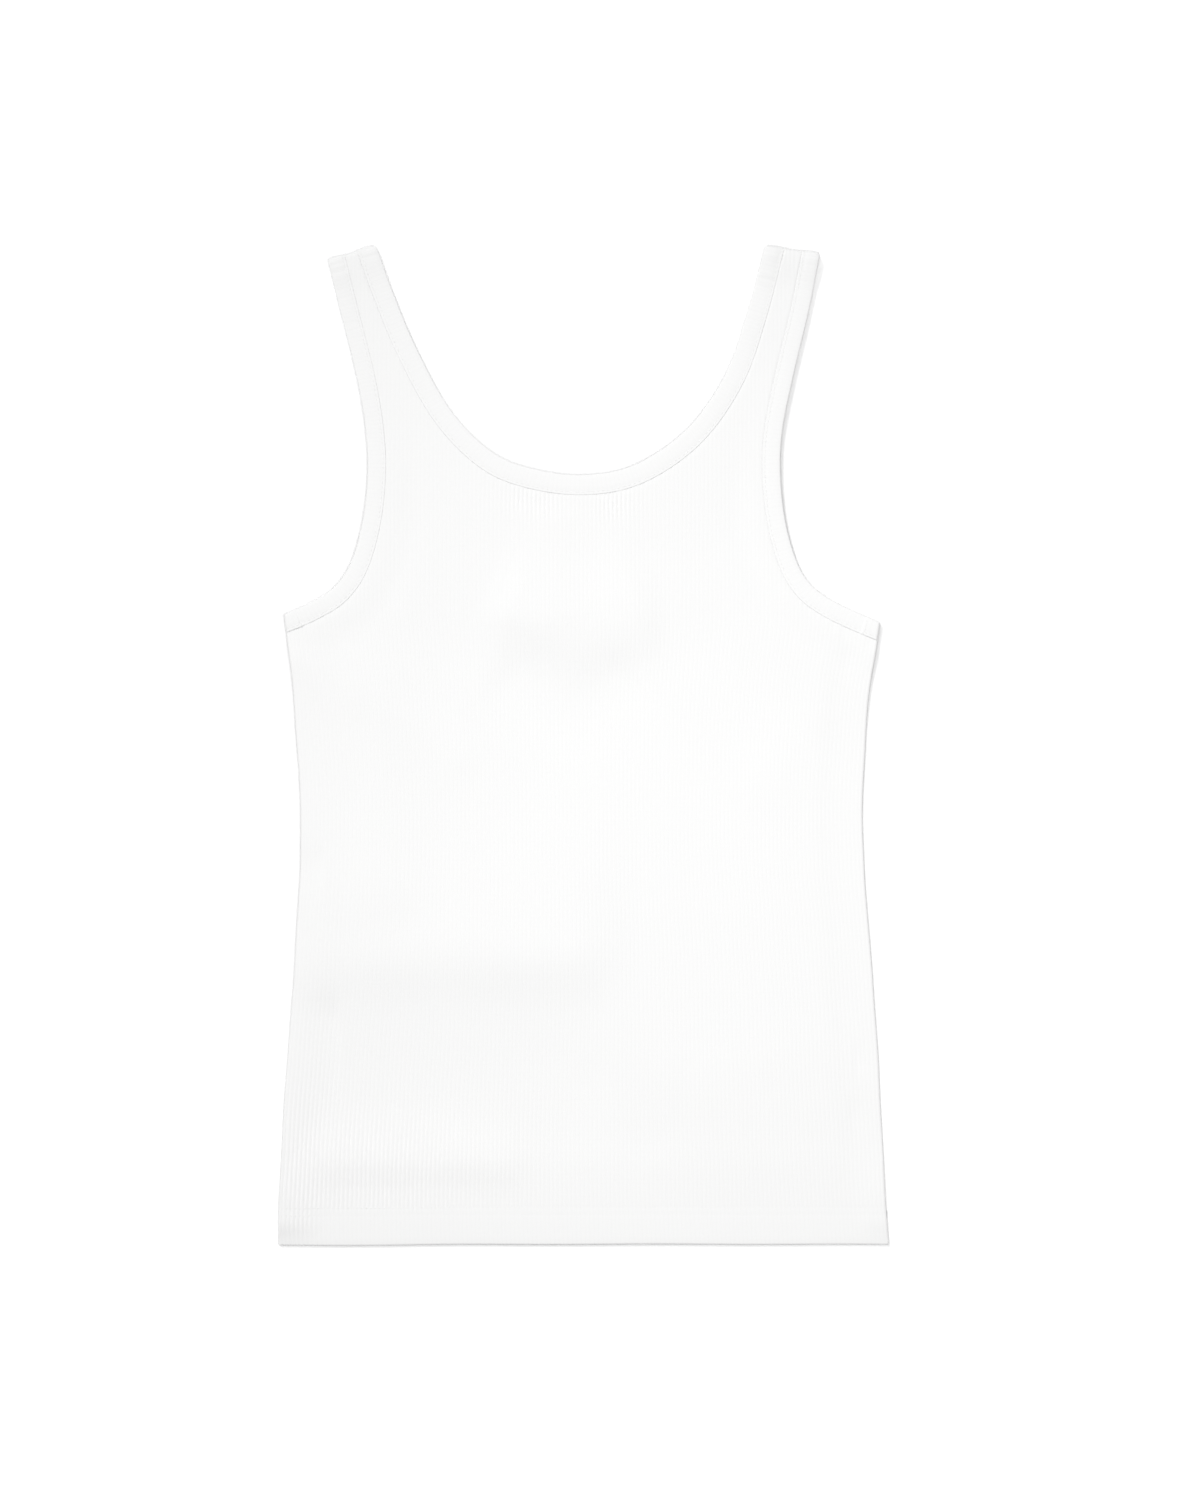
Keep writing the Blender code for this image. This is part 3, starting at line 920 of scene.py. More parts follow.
@dataclass
class Panel:
    """Front or back: cut flat, ribbed on its outer face, turned up and laid down."""

    layer: Layer
    rib_depth: float = 0.12
    body_row: float = 7.0          # spacing of the rows of points in the body
    fold_row: float = 0.34         # where the hem folds
    hem_row: float = 4.0           # on the hem
    scoop_row: float = 3.0         # beside the armholes and the neck
    strap_row: float = 3.4         # on the straps
    shoulder_row: float = 0.8      # and where the cloth rolls over
    shoulder_zone: float = 290.0
    top_margin: float = 0.2        # no row comes nearer to the cut's top
    inner_step: int = 2            # ribs between two points of the inner face
    end_margin: float = 0.3        # no column of points comes nearer to a row's end, in ribs
    rim_steps: tuple[float, ...] = (0.10, 0.36)      # points that round the outer face's rim
    rim_faces: tuple[float, ...] = (0.60, 0.95)
    stitch_rows: tuple[float, ...] = (-287.0, -291.4)
    stitch_groove: float = 0.13
    stitch_width: float = 0.9
    stitch_hold: float = 0.5       # a stitch takes this share of a rib's height
    side_round: float = 0.8        # the outer face rounds down to the side seam over this
    deepest: float = 1.4           # no rib is higher than this before it is pressed
    crown_share: float = 0.4       # share of a gathered rib's extra height that stands up
    drawn_flat: float = 2.2        # ribs are drawn flat this far from a sewn edge
    drawn_share: float = 0.2       # and keep this share of their height at the edge itself
    hem_flat: float = 0.75         # the hem's ribs lose this share, but not at its left corner
    hem_flat_ease: float = 2.0     # height over which they lose it
    hem_corner_ease: float = 12.0  # and width over which they do beside the corner
    sway: float = 0.13             # how far ribs stray from their line
    hem_wave: float = 0.3          # the hem's edge waves this much up and down
    hem_droop: float = 0.55        # and its left end lies this much lower
    droop_start: float = -70.0
    droop_length: float = 100.0
    hem_reach: float = 60.0
    outline: np.ndarray = field(init=False)
    area: float = field(init=False)
    piece: bpy.types.Object = field(init=False)

    def __post_init__(self) -> None:
        """Draw the flat cut and measure it."""
        self.outline = self.cut_outline()
        x, y = self.outline.T
        self.area = abs(x @ np.roll(y, -1) - y @ np.roll(x, -1)) / 2

    @property
    def node(self) -> str:
        """Name of the panel's node in the frame."""
        return f"{self.layer.value}_panel"

    @property
    def ribs(self) -> int:
        """Number of ribs from seam to seam."""
        widths = [row.right - row.left for row in SIDE_SEAMS]
        return round(sum(widths) / len(widths) / RIB_PITCH)

    @property
    def hem(self) -> Fold:
        """The fold at this panel's lower edge."""
        return HEMS[self.layer]

    @property
    def up(self) -> int:
        """1 where the outer face looks up, and -1 where it looks down."""
        return 1 if self.layer is Layer.BACK else -1

    # ---- flat cut
    def side(self, side: Side) -> np.ndarray:
        """One side of the cut.

        Args:
            side: left or right.

        Returns:
            Its points, from the turned-up edge to below the underarm corner.
        """
        line = SEAMS[side].points
        seam = line[0, 0]
        inset = seam + (HEM_SIDE_INSET if side is Side.LEFT else -HEM_SIDE_INSET)
        edge = HEM_TURNED - (HEM_DEPTH - HEM_EDGE)
        return np.vstack([(inset, edge), (inset, HEM_TURNED), (seam, HEM_AXIS), line[1:-1]])

    def shoulder(self, start: np.ndarray, end: np.ndarray, fold: Fold) -> np.ndarray:
        """The end of a strap: over the shoulder on the back, just short of it on the front."""
        reach = math.pi * PANEL_ROLL if self.layer is Layer.BACK else -GAP
        return np.array([start + reach * fold.over, end + reach * fold.over])

    def cut_outline(self) -> np.ndarray:
        """The flat cut.

        Returns:
            Its outline, clockwise from the left turned-up corner.
        """
        inset = {name: edge.inset(LAYER) for name, edge in EDGES[self.layer].items()}
        left, neck, right = inset["left"], inset["neck"], inset["right"]
        if self.layer is Layer.FRONT:
            left, neck, right = left[:-1], neck[1:-1], right[1:]
        return np.vstack([
            self.side(Side.LEFT),
            left,
            self.shoulder(inset["left"][-1], inset["neck"][0], SHOULDERS[Side.LEFT]),
            neck,
            self.shoulder(inset["neck"][-1], inset["right"][0], SHOULDERS[Side.RIGHT]),
            right,
            self.side(Side.RIGHT)[::-1],
        ])

    def row_heights(self) -> np.ndarray:
        """Where the panel has its rows of points.

        Returns:
            Their heights on the flat cloth, from the turned-up edge to the shoulders.
        """
        bottom, top = self.outline[:, 1].min(), self.outline[:, 1].max() - self.top_margin
        hem_low = min(self.stitch_rows) - 2 * self.stitch_width
        hem_top = max(self.stitch_rows) + 3 * self.stitch_width
        armpit = UNDERARM - LAYER
        scoop = EDGES[self.layer]["neck"].inset(LAYER)[:, 1].min()
        return np.sort(np.concatenate([
            spaced(bottom, HEM_TURNED, self.body_row),
            spaced(HEM_TURNED, HEM_AXIS, self.fold_row)[1:],
            spaced(HEM_AXIS, hem_low, self.hem_row)[1:],
            [row + self.stitch_width * k for row in self.stitch_rows for k in (-1, 0, 1)],
            spaced(hem_top, armpit, self.body_row),
            spaced(armpit, scoop, self.scoop_row)[1:],
            spaced(scoop, self.shoulder_zone, self.strap_row)[1:],
            spaced(self.shoulder_zone, top, self.shoulder_row)[1:],
        ]))

    def spans(self, height: float) -> list[tuple[float, float]]:
        """Stretches of the flat cloth in one row.

        Args:
            height: the row's height.

        Returns:
            The start and end of each stretch, from left to right.
        """
        a, b = self.outline, np.roll(self.outline, -1, axis=0)
        crossing = (a[:, 1] > height) != (b[:, 1] > height)
        a, b = a[crossing], b[crossing]
        across = a[:, 0] + (b[:, 0] - a[:, 0]) * (height - a[:, 1]) / (b[:, 1] - a[:, 1])
        across.sort()
        return list(zip(across[0::2], across[1::2]))

    # ---- laying down
    def flat_place(self, count: np.ndarray, height: np.ndarray) -> np.ndarray:
        """Points of the flat cloth at positions counted in ribs from the left seam."""
        left, right = seam_at(Side.LEFT, height), seam_at(Side.RIGHT, height)
        return np.column_stack([left + (right - left) * count / self.ribs, height])

    def count_at(self, x: float, height: float) -> float:
        """Position counted in ribs of one point of the flat cloth."""
        left, right = (float(seam_at(side, height)) for side in Side)
        return (x - left) / (right - left) * self.ribs

    def offset(self, lay: Lay, count: np.ndarray, face: np.ndarray) -> np.ndarray:
        """How far points lie outside the middle of the wall.

        Args:
            lay: the points, measured against every edge.
            count: their positions counted in ribs.
            face: up to 1 on the outer face, -1 on the inner face and 0 where they meet.

        Returns:
            A distance for each point, below 0 on the inner face.
        """
        x, y = lay.where.T
        groove = sum(bump(y - row, self.stitch_width) for row in self.stitch_rows)
        depth = self.rib_depth / lay.pressed()
        crown = 0.0
        if self.layer is Layer.BACK:
            hemmed = smooth((self.stitch_rows[0] - y) / self.hem_flat_ease)
            hemmed *= smooth((x - HEM_CORNER) / self.hem_corner_ease)
            depth *= Rib.gathered(lay.where, count) * (1.0 - self.hem_flat * hemmed)
            depth = np.minimum(depth * (1.0 - self.stitch_hold * groove), self.deepest)
            crown = self.crown_share * np.maximum(depth - self.rib_depth, 0.0)
        free = smooth(lay.past_bands(self.layer) / self.drawn_flat)
        free = self.drawn_share + (1.0 - self.drawn_share) * free
        outer = CLOTH / 2 + free * (crown - depth * Rib.sink(count)) - self.stitch_groove * groove
        return face * np.where(face > 0.0, outer, CLOTH / 2)

    def stray(self, where: np.ndarray) -> np.ndarray:
        """Small wandering of the cloth, in waves with no common length.

        Args:
            where: places on the laid garment.

        Returns:
            A step for each: sideways along its ribs, and up or down near the hem.
        """
        x, y = where.T
        aside = np.sin(0.105 * y + 0.05 * x) + np.sin(0.041 * y - 0.09 * x + 1.0)
        wave = self.hem_wave * np.sin(0.034 * x) * np.sin(0.019 * x + 0.8)
        droop = self.hem_droop * smooth((self.droop_start - x) / self.droop_length)
        near_hem = 1.0 - smooth((y - HEM_FOLD) / self.hem_reach)
        return np.column_stack([self.sway * aside, near_hem * (wave - droop)])

    def lay_down(self, where: np.ndarray, count: np.ndarray, face: np.ndarray) -> np.ndarray:
        """Where points of the flat cloth lie on the laid garment.

        Args:
            where: points of the flat cloth.
            count: their positions counted in ribs.
            face: up to 1 on the outer face, -1 on the inner face and 0 where they meet.

        Returns:
            A row of x, y and z for each point.
        """
        lay = Lay(where)
        folds = [self.hem, *SHOULDERS.values()] if self.layer is Layer.BACK else [self.hem]
        turn = sum(fold.turn(where) for fold in folds[1:]) + np.zeros(len(where))
        offset = self.offset(lay, count, face)
        offset += lay.lift(self.layer) * (1.0 + np.cos(turn)) / 2.0
        level = lay.underside(self.layer) + CLOTH / 2 + self.up * offset
        laid = np.column_stack([where, level])
        for fold in folds:
            past = fold.past(where) > 0.0
            laid[past] = fold.bend(where[past], offset[past])
        if self.layer is Layer.BACK:
            on_strap = where[:, 1] > STRAP_LOW
            sprung = np.where(on_strap, lay.sprung(turn), 1.0)
            laid[:, 2] = MIDDLE + (laid[:, 2] - MIDDLE) * sprung
        return self.closed_sides(laid, lay)

    def closed_sides(self, laid: np.ndarray, lay: Lay) -> np.ndarray:
        """Press the laid cloth and round it down to the other panel at the side seams.

        Args:
            laid: a row of x, y and z for each point.
            lay: the same points, measured against every edge.

        Returns:
            The rows, moved.
        """
        share = np.clip(lay.from_side / self.side_round, 0.0, 1.0)
        kept = np.sqrt(1.0 - (1.0 - share) ** 2)
        past = self.hem.past(lay.where) / (math.pi * HEM_ROLL)
        kept = np.where((past < 1.0) & (lay.where[:, 1] < UNDERARM), kept, 1.0)
        meet = lay.seam_height()
        laid[:, 2] = lay.pressed() * (meet + (laid[:, 2] - meet) * kept)
        laid[:, :2] += self.stray(laid[:, :2])
        return laid

    def surface(self, where: np.ndarray) -> np.ndarray:
        """Where points of the flat cloth lie on the crowns of the outer face."""
        return self.lay_down(where, np.full(len(where), 0.5), np.ones(len(where)))

    # ---- building
    def build(self) -> None:
        """Make the panel's mesh: both faces row by row, zipped together and closed."""
        counts: list[float] = []
        heights: list[float] = []
        face_of: list[float] = []

        def added(new: Sequence[float], height: float, face: Sequence[float]) -> list[int]:
            """New vertices in one row.

            Args:
                new: their positions counted in ribs.
                height: the row's height.
                face: which face each lies on.

            Returns:
                Their numbers.
            """
            first = len(counts)
            counts.extend(new)
            heights.extend([height] * len(new))
            face_of.extend(face)
            return list(range(first, len(counts)))

        fine = Rib.columns(self.ribs)
        coarse = np.arange(1.0, self.ribs, self.inner_step)
        faces: list[tuple[int, ...]] = []
        below: list[Span] = []
        for height in self.row_heights():
            spans: list[Span] = []
            for x_start, x_end in self.spans(height):
                start, end = self.count_at(x_start, height), self.count_at(x_end, height)
                first = added([start], height, [0.0])
                if spans and abs(spans[-1].end - start) < SAME:
                    first = [spans[-1].outer.index[-1]]
                last = added([end], height, [0.0])
                chains = []
                for face, columns in ((1.0, fine), (-1.0, coarse)):
                    near = (columns > start + self.end_margin) & (columns < end - self.end_margin)
                    inside = columns[near].tolist()
                    faces_in = [face] * len(inside)
                    if face > 0.0 and end - start > 4 * self.end_margin:
                        rim = [step / RIB_PITCH for step in self.rim_steps]
                        inside = [*(start + r for r in rim), *inside, *(end - r for r in rim[::-1])]
                        faces_in = [*self.rim_faces, *faces_in, *self.rim_faces[::-1]]
                    index = first + added(inside, height, faces_in) + last
                    chains.append(Chain(index, [start, *inside, end]))
                spans.append(Span(start, end, *chains))
            faces += self.joined(below, spans)
            below = spans
        for span in below:
            faces += zipped(span.outer, span.inner)
        count, height = np.array(counts), np.array(heights)
        where = self.flat_place(count, height)
        vertices = self.lay_down(where, count, np.array(face_of))
        knit = np.column_stack([count, height])
        corners = np.concatenate([np.array(face) for face in faces])
        self.piece = make_object(self.node + "_cloth", vertices, faces, knit[corners])

    def joined(self, below: list[Span], above: list[Span]) -> list[tuple[int, ...]]:
        """Faces between two rows.

        Args:
            below: the lower row's spans.
            above: the upper row's spans.

        Returns:
            Outer and inner faces, and the end of each span with nothing above it.
        """
        if not below:
            return [face for span in above for face in zipped(span.outer, span.inner)]
        faces: list[tuple[int, ...]] = []
        for span in below:
            over = [one for one in above if one.start < span.end and one.end > span.start]
            if not over:
                faces += zipped(span.outer, span.inner)
            outer, inner = span.outer, span.inner
            for one, after in zip(over, over[1:] + [None]):
                if after is None:
                    faces += zipped(outer, one.outer) + zipped(inner, one.inner)
                    continue
                middle = (one.end + after.start) / 2
                outer_part, outer = outer.cut(middle)
                inner_part, inner = inner.cut(middle)
                faces += zipped(outer_part, one.outer) + zipped(inner_part, one.inner)
        return faces

    def dress(self, material: bpy.types.Material, rests_on: Sequence[str]) -> None:
        """Finish the panel and hide its node in the frame.

        Args:
            material: the body's rib knit.
            rests_on: names of what it lies on; not used.
        """
        dress(self.piece, material)
        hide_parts(self.node)
        report(self.piece)


# ---------------------------------------------------------------- bindings
@dataclass
class Route:
    """Where a binding's section stands, point by point along the strip."""

    walked: np.ndarray
    spot: np.ndarray               # on the folded edge
    inward: np.ndarray             # way into the cloth
    over: np.ndarray               # way out over the shoulder
    turn: np.ndarray               # 0 on the back, pi on the front

    @classmethod
    def joined(cls, parts: Sequence[dict[str, np.ndarray]]) -> Route:
        """One route from parts that follow each other.

        Args:
            parts: spot, inward, over and turn of each part.

        Returns:
            The route, without the points that two parts share.
        """
        whole = {key: np.concatenate([part[key] for part in parts]) for key in parts[0]}
        steps = np.linalg.norm(np.diff(whole["spot"], axis=0), axis=1)
        steps += MIDDLE * np.abs(np.diff(whole["turn"]))
        keep = np.concatenate([[True], steps > SAME])
        walked = np.concatenate([[0.0], np.cumsum(steps)])
        return cls(walked[keep], **{key: value[keep] for key, value in whole.items()})

    def at(self, walked: np.ndarray) -> tuple[np.ndarray, ...]:
        """The route between its points.

        Args:
            walked: distances along the strip.

        Returns:
            Spot, way in, way over and turn at each distance.
        """
        spot, inward, over = (
            np.column_stack([np.interp(walked, self.walked, axis) for axis in values.T])
            for values in (self.spot, self.inward, self.over)
        )
        return spot, unit(inward), over, np.interp(walked, self.walked, self.turn)


def edge_part(edge: BoundEdge, layer: Layer, fold: Fold, backwards: bool) -> dict[str, np.ndarray]:
    """The stretch of a route that follows one edge of a panel.

    Args:
        edge: the edge.
        layer: the panel's layer.
        fold: the shoulder that the strip goes over next to it.
        backwards: whether the strip runs from the edge's last point to its first.

    Returns:
        Spot, inward, over and turn, as a Route has them.
    """
    walked = edge.line.walked
    part = {
        "spot": edge.line.points,
        "inward": edge.inward(walked),
        "over": np.tile(fold.over, (len(walked), 1)),
        "turn": np.full(len(walked), 0.0 if layer is Layer.BACK else math.pi),
    }
    return {key: value[::-1] for key, value in part.items()} if backwards else part


def shoulder_part(
    spot: np.ndarray, inward: np.ndarray, fold: Fold, back_first: bool
) -> dict[str, np.ndarray]:
    """The stretch of a route that rolls over a shoulder.

    Args:
        spot: where the strip's folded edge meets the shoulder's axis.
        inward: way into the cloth there.
        fold: the shoulder.
        back_first: whether the strip comes from the back.

    Returns:
        Spot, inward, over and turn, as a Route has them.
    """
    turn = np.linspace(0.0, math.pi, SHOULDER_STEPS)
    fixed = {"spot": spot, "inward": inward, "over": fold.over}
    part = {key: np.tile(value, (SHOULDER_STEPS, 1)) for key, value in fixed.items()}
    return {**part, "turn": turn if back_first else turn[::-1]}


class SectionPoint(NamedTuple):
    """A corner of a folded strip's section."""

    depth: float                   # into the cloth from the folded edge
    height: float                  # over the strip's inner face
    ribbed: float                  # share of the ribs' depth that it takes


def binding_section(band: float) -> np.ndarray:
    """Closed section of a folded strip.

    Args:
        band: finished width of the binding.

    Returns:
        A row for each point, as SectionPoint names them. The outer skin comes first, from the
        edge that is sewn on top, round the fold, to the sewn edge beneath.
    """
    top, seam = BINDING_TOP, band - Stitching.from_edge
    return np.array([
        SectionPoint(band, top - 0.72, 0.2),
        SectionPoint(band + 0.08, top - 0.58, 0.4),
        SectionPoint(band - 0.25, top - 0.44, 0.6),
        SectionPoint(seam + 0.75, top - 0.32, 0.6),
        SectionPoint(seam, top - Stitching.groove, 0.2),
        SectionPoint(seam - 0.95, top - 0.18, 0.7),
        SectionPoint(band * 0.56, top + 0.03, 1.0),
        SectionPoint(band * 0.28, top + 0.02, 1.0),
        SectionPoint(0.85, top - 0.06, 1.0),
        SectionPoint(0.22, top - 0.32, 1.0),
        SectionPoint(0.02, top - 0.90, 1.0),
        SectionPoint(0.00, top / 2, 1.0),
        SectionPoint(0.04, 0.95, 1.0),
        SectionPoint(0.36, 0.34, 1.0),
        SectionPoint(1.10, 0.07, 1.0),
        SectionPoint(band * 0.45, 0.02, 0.6),
        SectionPoint(seam, 0.12, 0.25),
        SectionPoint(band - 0.25, 0.06, 0.6),
        SectionPoint(band + 0.05, 0.45, 0.2),
        SectionPoint(band - 0.15, 0.92, 0.0),
        SectionPoint(1.05, 1.00, 0.0),
        SectionPoint(1.05, top - 1.00, 0.0),
        SectionPoint(seam, top - 1.06, 0.0),
        SectionPoint(band - 0.15, top - 0.80, 0.0),
    ])


@dataclass
class Binding:
    """A folded strip that holds an edge of both panels, its ribs running across the band."""

    node: str
    band: float
    corner: float                  # taken off its corners at the shoulders
    closed: bool
    route: Route
    rests_on: tuple[str, ...] = ("back_panel", "front_panel")
    rib_depth: float = 0.055
    end_close: float = 1.6         # an open strip's ends close over this length
    tab: float = 9.2               # and lie double for this one
    tab_ease: float = 0.7
    tab_rise: float = 0.32
    ripple: float = 0.4            # height of the waves near the straps' tops
    ripple_rest: float = 0.15      # share of it everywhere else
    ripple_length: float = 7.4
    ripple_reach: float = 62.0
    clearance: float = 0.12        # between its underside and the surface, before it is pressed
    piece: bpy.types.Object = field(init=False)

    @property
    def length(self) -> float:
        """Length of the strip along its fold."""
        return float(self.route.walked[-1])

    def ends(self, walked: np.ndarray) -> tuple[np.ndarray, np.ndarray]:
        """Shape of an open strip near its two ends.

        Args:
            walked: distances along the strip.

        Returns:
            The share of its height that it keeps, and 1 where it lies double or else 0.
        """
        if self.closed:
            return np.ones(len(walked)), np.zeros(len(walked))
        end = np.minimum(walked, self.length - walked)
        shut = np.clip(end / self.end_close, 0.0, 1.0)
        doubled = 1.0 - smooth((end - self.tab) / self.tab_ease)
        return np.sqrt(1.0 - (1.0 - shut) ** 2), doubled

    def swell(self, walked: np.ndarray, spot: np.ndarray) -> np.ndarray:
        """Slight waves of the outer skin, uneven in length and height.

        Args:
            walked: distances along the strip.
            spot: the folded edge at those distances.

        Returns:
            A height for each, greatest near the tops of the straps.
        """
        reach = np.min([np.hypot(*(spot - fold.start).T) for fold in SHOULDERS.values()], axis=0)
        near = 1.0 - smooth(reach / self.ripple_reach)
        strength = self.ripple_rest + (1.0 - self.ripple_rest) * near
        phase = 2.0 * math.pi * walked / self.ripple_length
        uneven = 0.6 + 0.4 * np.sin(phase * 0.29 + 1.0)
        return self.ripple * strength * uneven * np.sin(phase + 1.9 * np.sin(phase * 0.37))

    def place(self, walked: np.ndarray, depth: np.ndarray, height: np.ndarray) -> np.ndarray:
        """Where points of the strip lie.

        Args:
            walked: distances along the strip.
            depth: distances into the cloth from the folded edge.
            height: heights over the strip's inner face.

        Returns:
            A row of x, y and z for each point.
        """
        spot, inward, over, turn = self.route.at(walked)
        shut, doubled = self.ends(walked)
        on_back = (np.cos(turn) + 1.0) / 2.0
        wave = self.swell(walked, spot) * smooth((height - BINDING_TOP / 2) / BINDING_TOP)
        height = height + wave * on_back
        height = height + self.tab_rise * doubled * smooth((height - CLOTH) / (2 * CLOTH))
        lift = GAP / 2 + height
        depth = depth + self.corner * np.sin(turn) ** 2
        flat = spot + inward * depth[:, None] + over * (lift * np.sin(turn))[:, None]
        lay = Lay(flat)
        rise = lift * np.cos(turn) * lay.sprung(turn)
        drop = (MIDDLE + GAP / 2 - lay.bed()) * on_back
        drop = np.where(flat[:, 1] > STRAP_LOW + STRAP_RISE, 0.0, drop)
        level = np.maximum(MIDDLE + rise * shut - drop, self.clearance)
        return np.column_stack([flat, level * lay.pressed()])

    def build(self) -> None:
        """Sweep the section along the strip, a few stations for each rib."""
        ribs = round(self.length / RIB_PITCH)
        count = Rib.columns(ribs)
        if not self.closed:
            count = np.append(count, float(ribs))
        section = binding_section(self.band)
        ways = np.roll(section[:, :2], -1, axis=0) - np.roll(section[:, :2], 1, axis=0)
        outward = unit(np.column_stack([ways[:, 1], -ways[:, 0]]))
        size, rows = len(section), len(count)
        sunk = self.rib_depth * np.outer(Rib.sink(count), section[:, 2])
        depth = (section[:, 0] - outward[:, 0] * sunk).ravel()
        height = (section[:, 1] - outward[:, 1] * sunk).ravel()
        walked = np.repeat(count * (self.length / ribs), size)
        vertices = self.place(walked, depth, height)
        girth = np.linalg.norm(np.diff(section[:, :2], axis=0, append=section[:1, :2]), axis=1)
        girth = np.concatenate([[0.0], np.cumsum(girth)])
        row, k = (grid.ravel() for grid in np.mgrid[0 : rows if self.closed else rows - 1, 0:size])
        after_row, after_k = (row + 1) % rows, (k + 1) % size
        quads = np.column_stack([
            row * size + k, row * size + after_k, after_row * size + after_k, after_row * size + k
        ])
        here = count[row]
        there = np.where(after_row == 0, float(ribs), count[after_row])
        across = np.column_stack([here, here, there, there])
        round_it = np.column_stack([girth[k], girth[k + 1], girth[k + 1], girth[k]])
        knit = np.stack([across, round_it], axis=-1).reshape(-1, 2)
        faces = quads.tolist()
        if not self.closed:
            for end, place in ((0, 0.0), (rows - 1, float(ribs))):
                faces.append((end * size + np.arange(size)).tolist())
                cap = np.column_stack([np.full(size, place), girth[:size]])
                knit = np.vstack([knit, cap])
        self.piece = make_object(self.node + "_cloth", vertices, faces, knit)

    def dress(self, material: bpy.types.Material, sewn: Sequence[bpy.types.Object]) -> None:
        """Finish the strip and hide its node in the frame.

        Args:
            material: the bindings' rib knit.
            sewn: the stitching on it; not used.
        """
        dress(self.piece, material)
        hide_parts(self.node)
        report(self.piece)


def neck_route() -> Route:
    """The neck binding's route.

    Returns:
        The way across the back, over the right shoulder, across the front and over the left.
    """
    back, front = EDGES[Layer.BACK]["neck"], EDGES[Layer.FRONT]["neck"]
    left, right = SHOULDERS[Side.LEFT], SHOULDERS[Side.RIGHT]
    return Route.joined([
        edge_part(back, Layer.BACK, right, backwards=False),
        shoulder_part(back.line.points[-1], back.last, right, back_first=True),
        edge_part(front, Layer.FRONT, left, backwards=True),
        shoulder_part(back.line.points[0], back.first, left, back_first=False),
    ])


def armhole_route(side: Side) -> Route:
    """An armhole binding's route.

    Args:
        side: left or right.

    Returns:
        The way up the back from the underarm, over the shoulder and down the front.
    """
    back, front = EDGES[Layer.BACK][side.value], EDGES[Layer.FRONT][side.value]
    fold = SHOULDERS[side]
    upwards = side is Side.LEFT
    top = back.line.points[-1] if upwards else back.line.points[0]
    inward = back.last if upwards else back.first
    return Route.joined([
        edge_part(back, Layer.BACK, fold, backwards=not upwards),
        shoulder_part(top, inward, fold, back_first=True),
        edge_part(front, Layer.FRONT, fold, backwards=upwards),
    ])


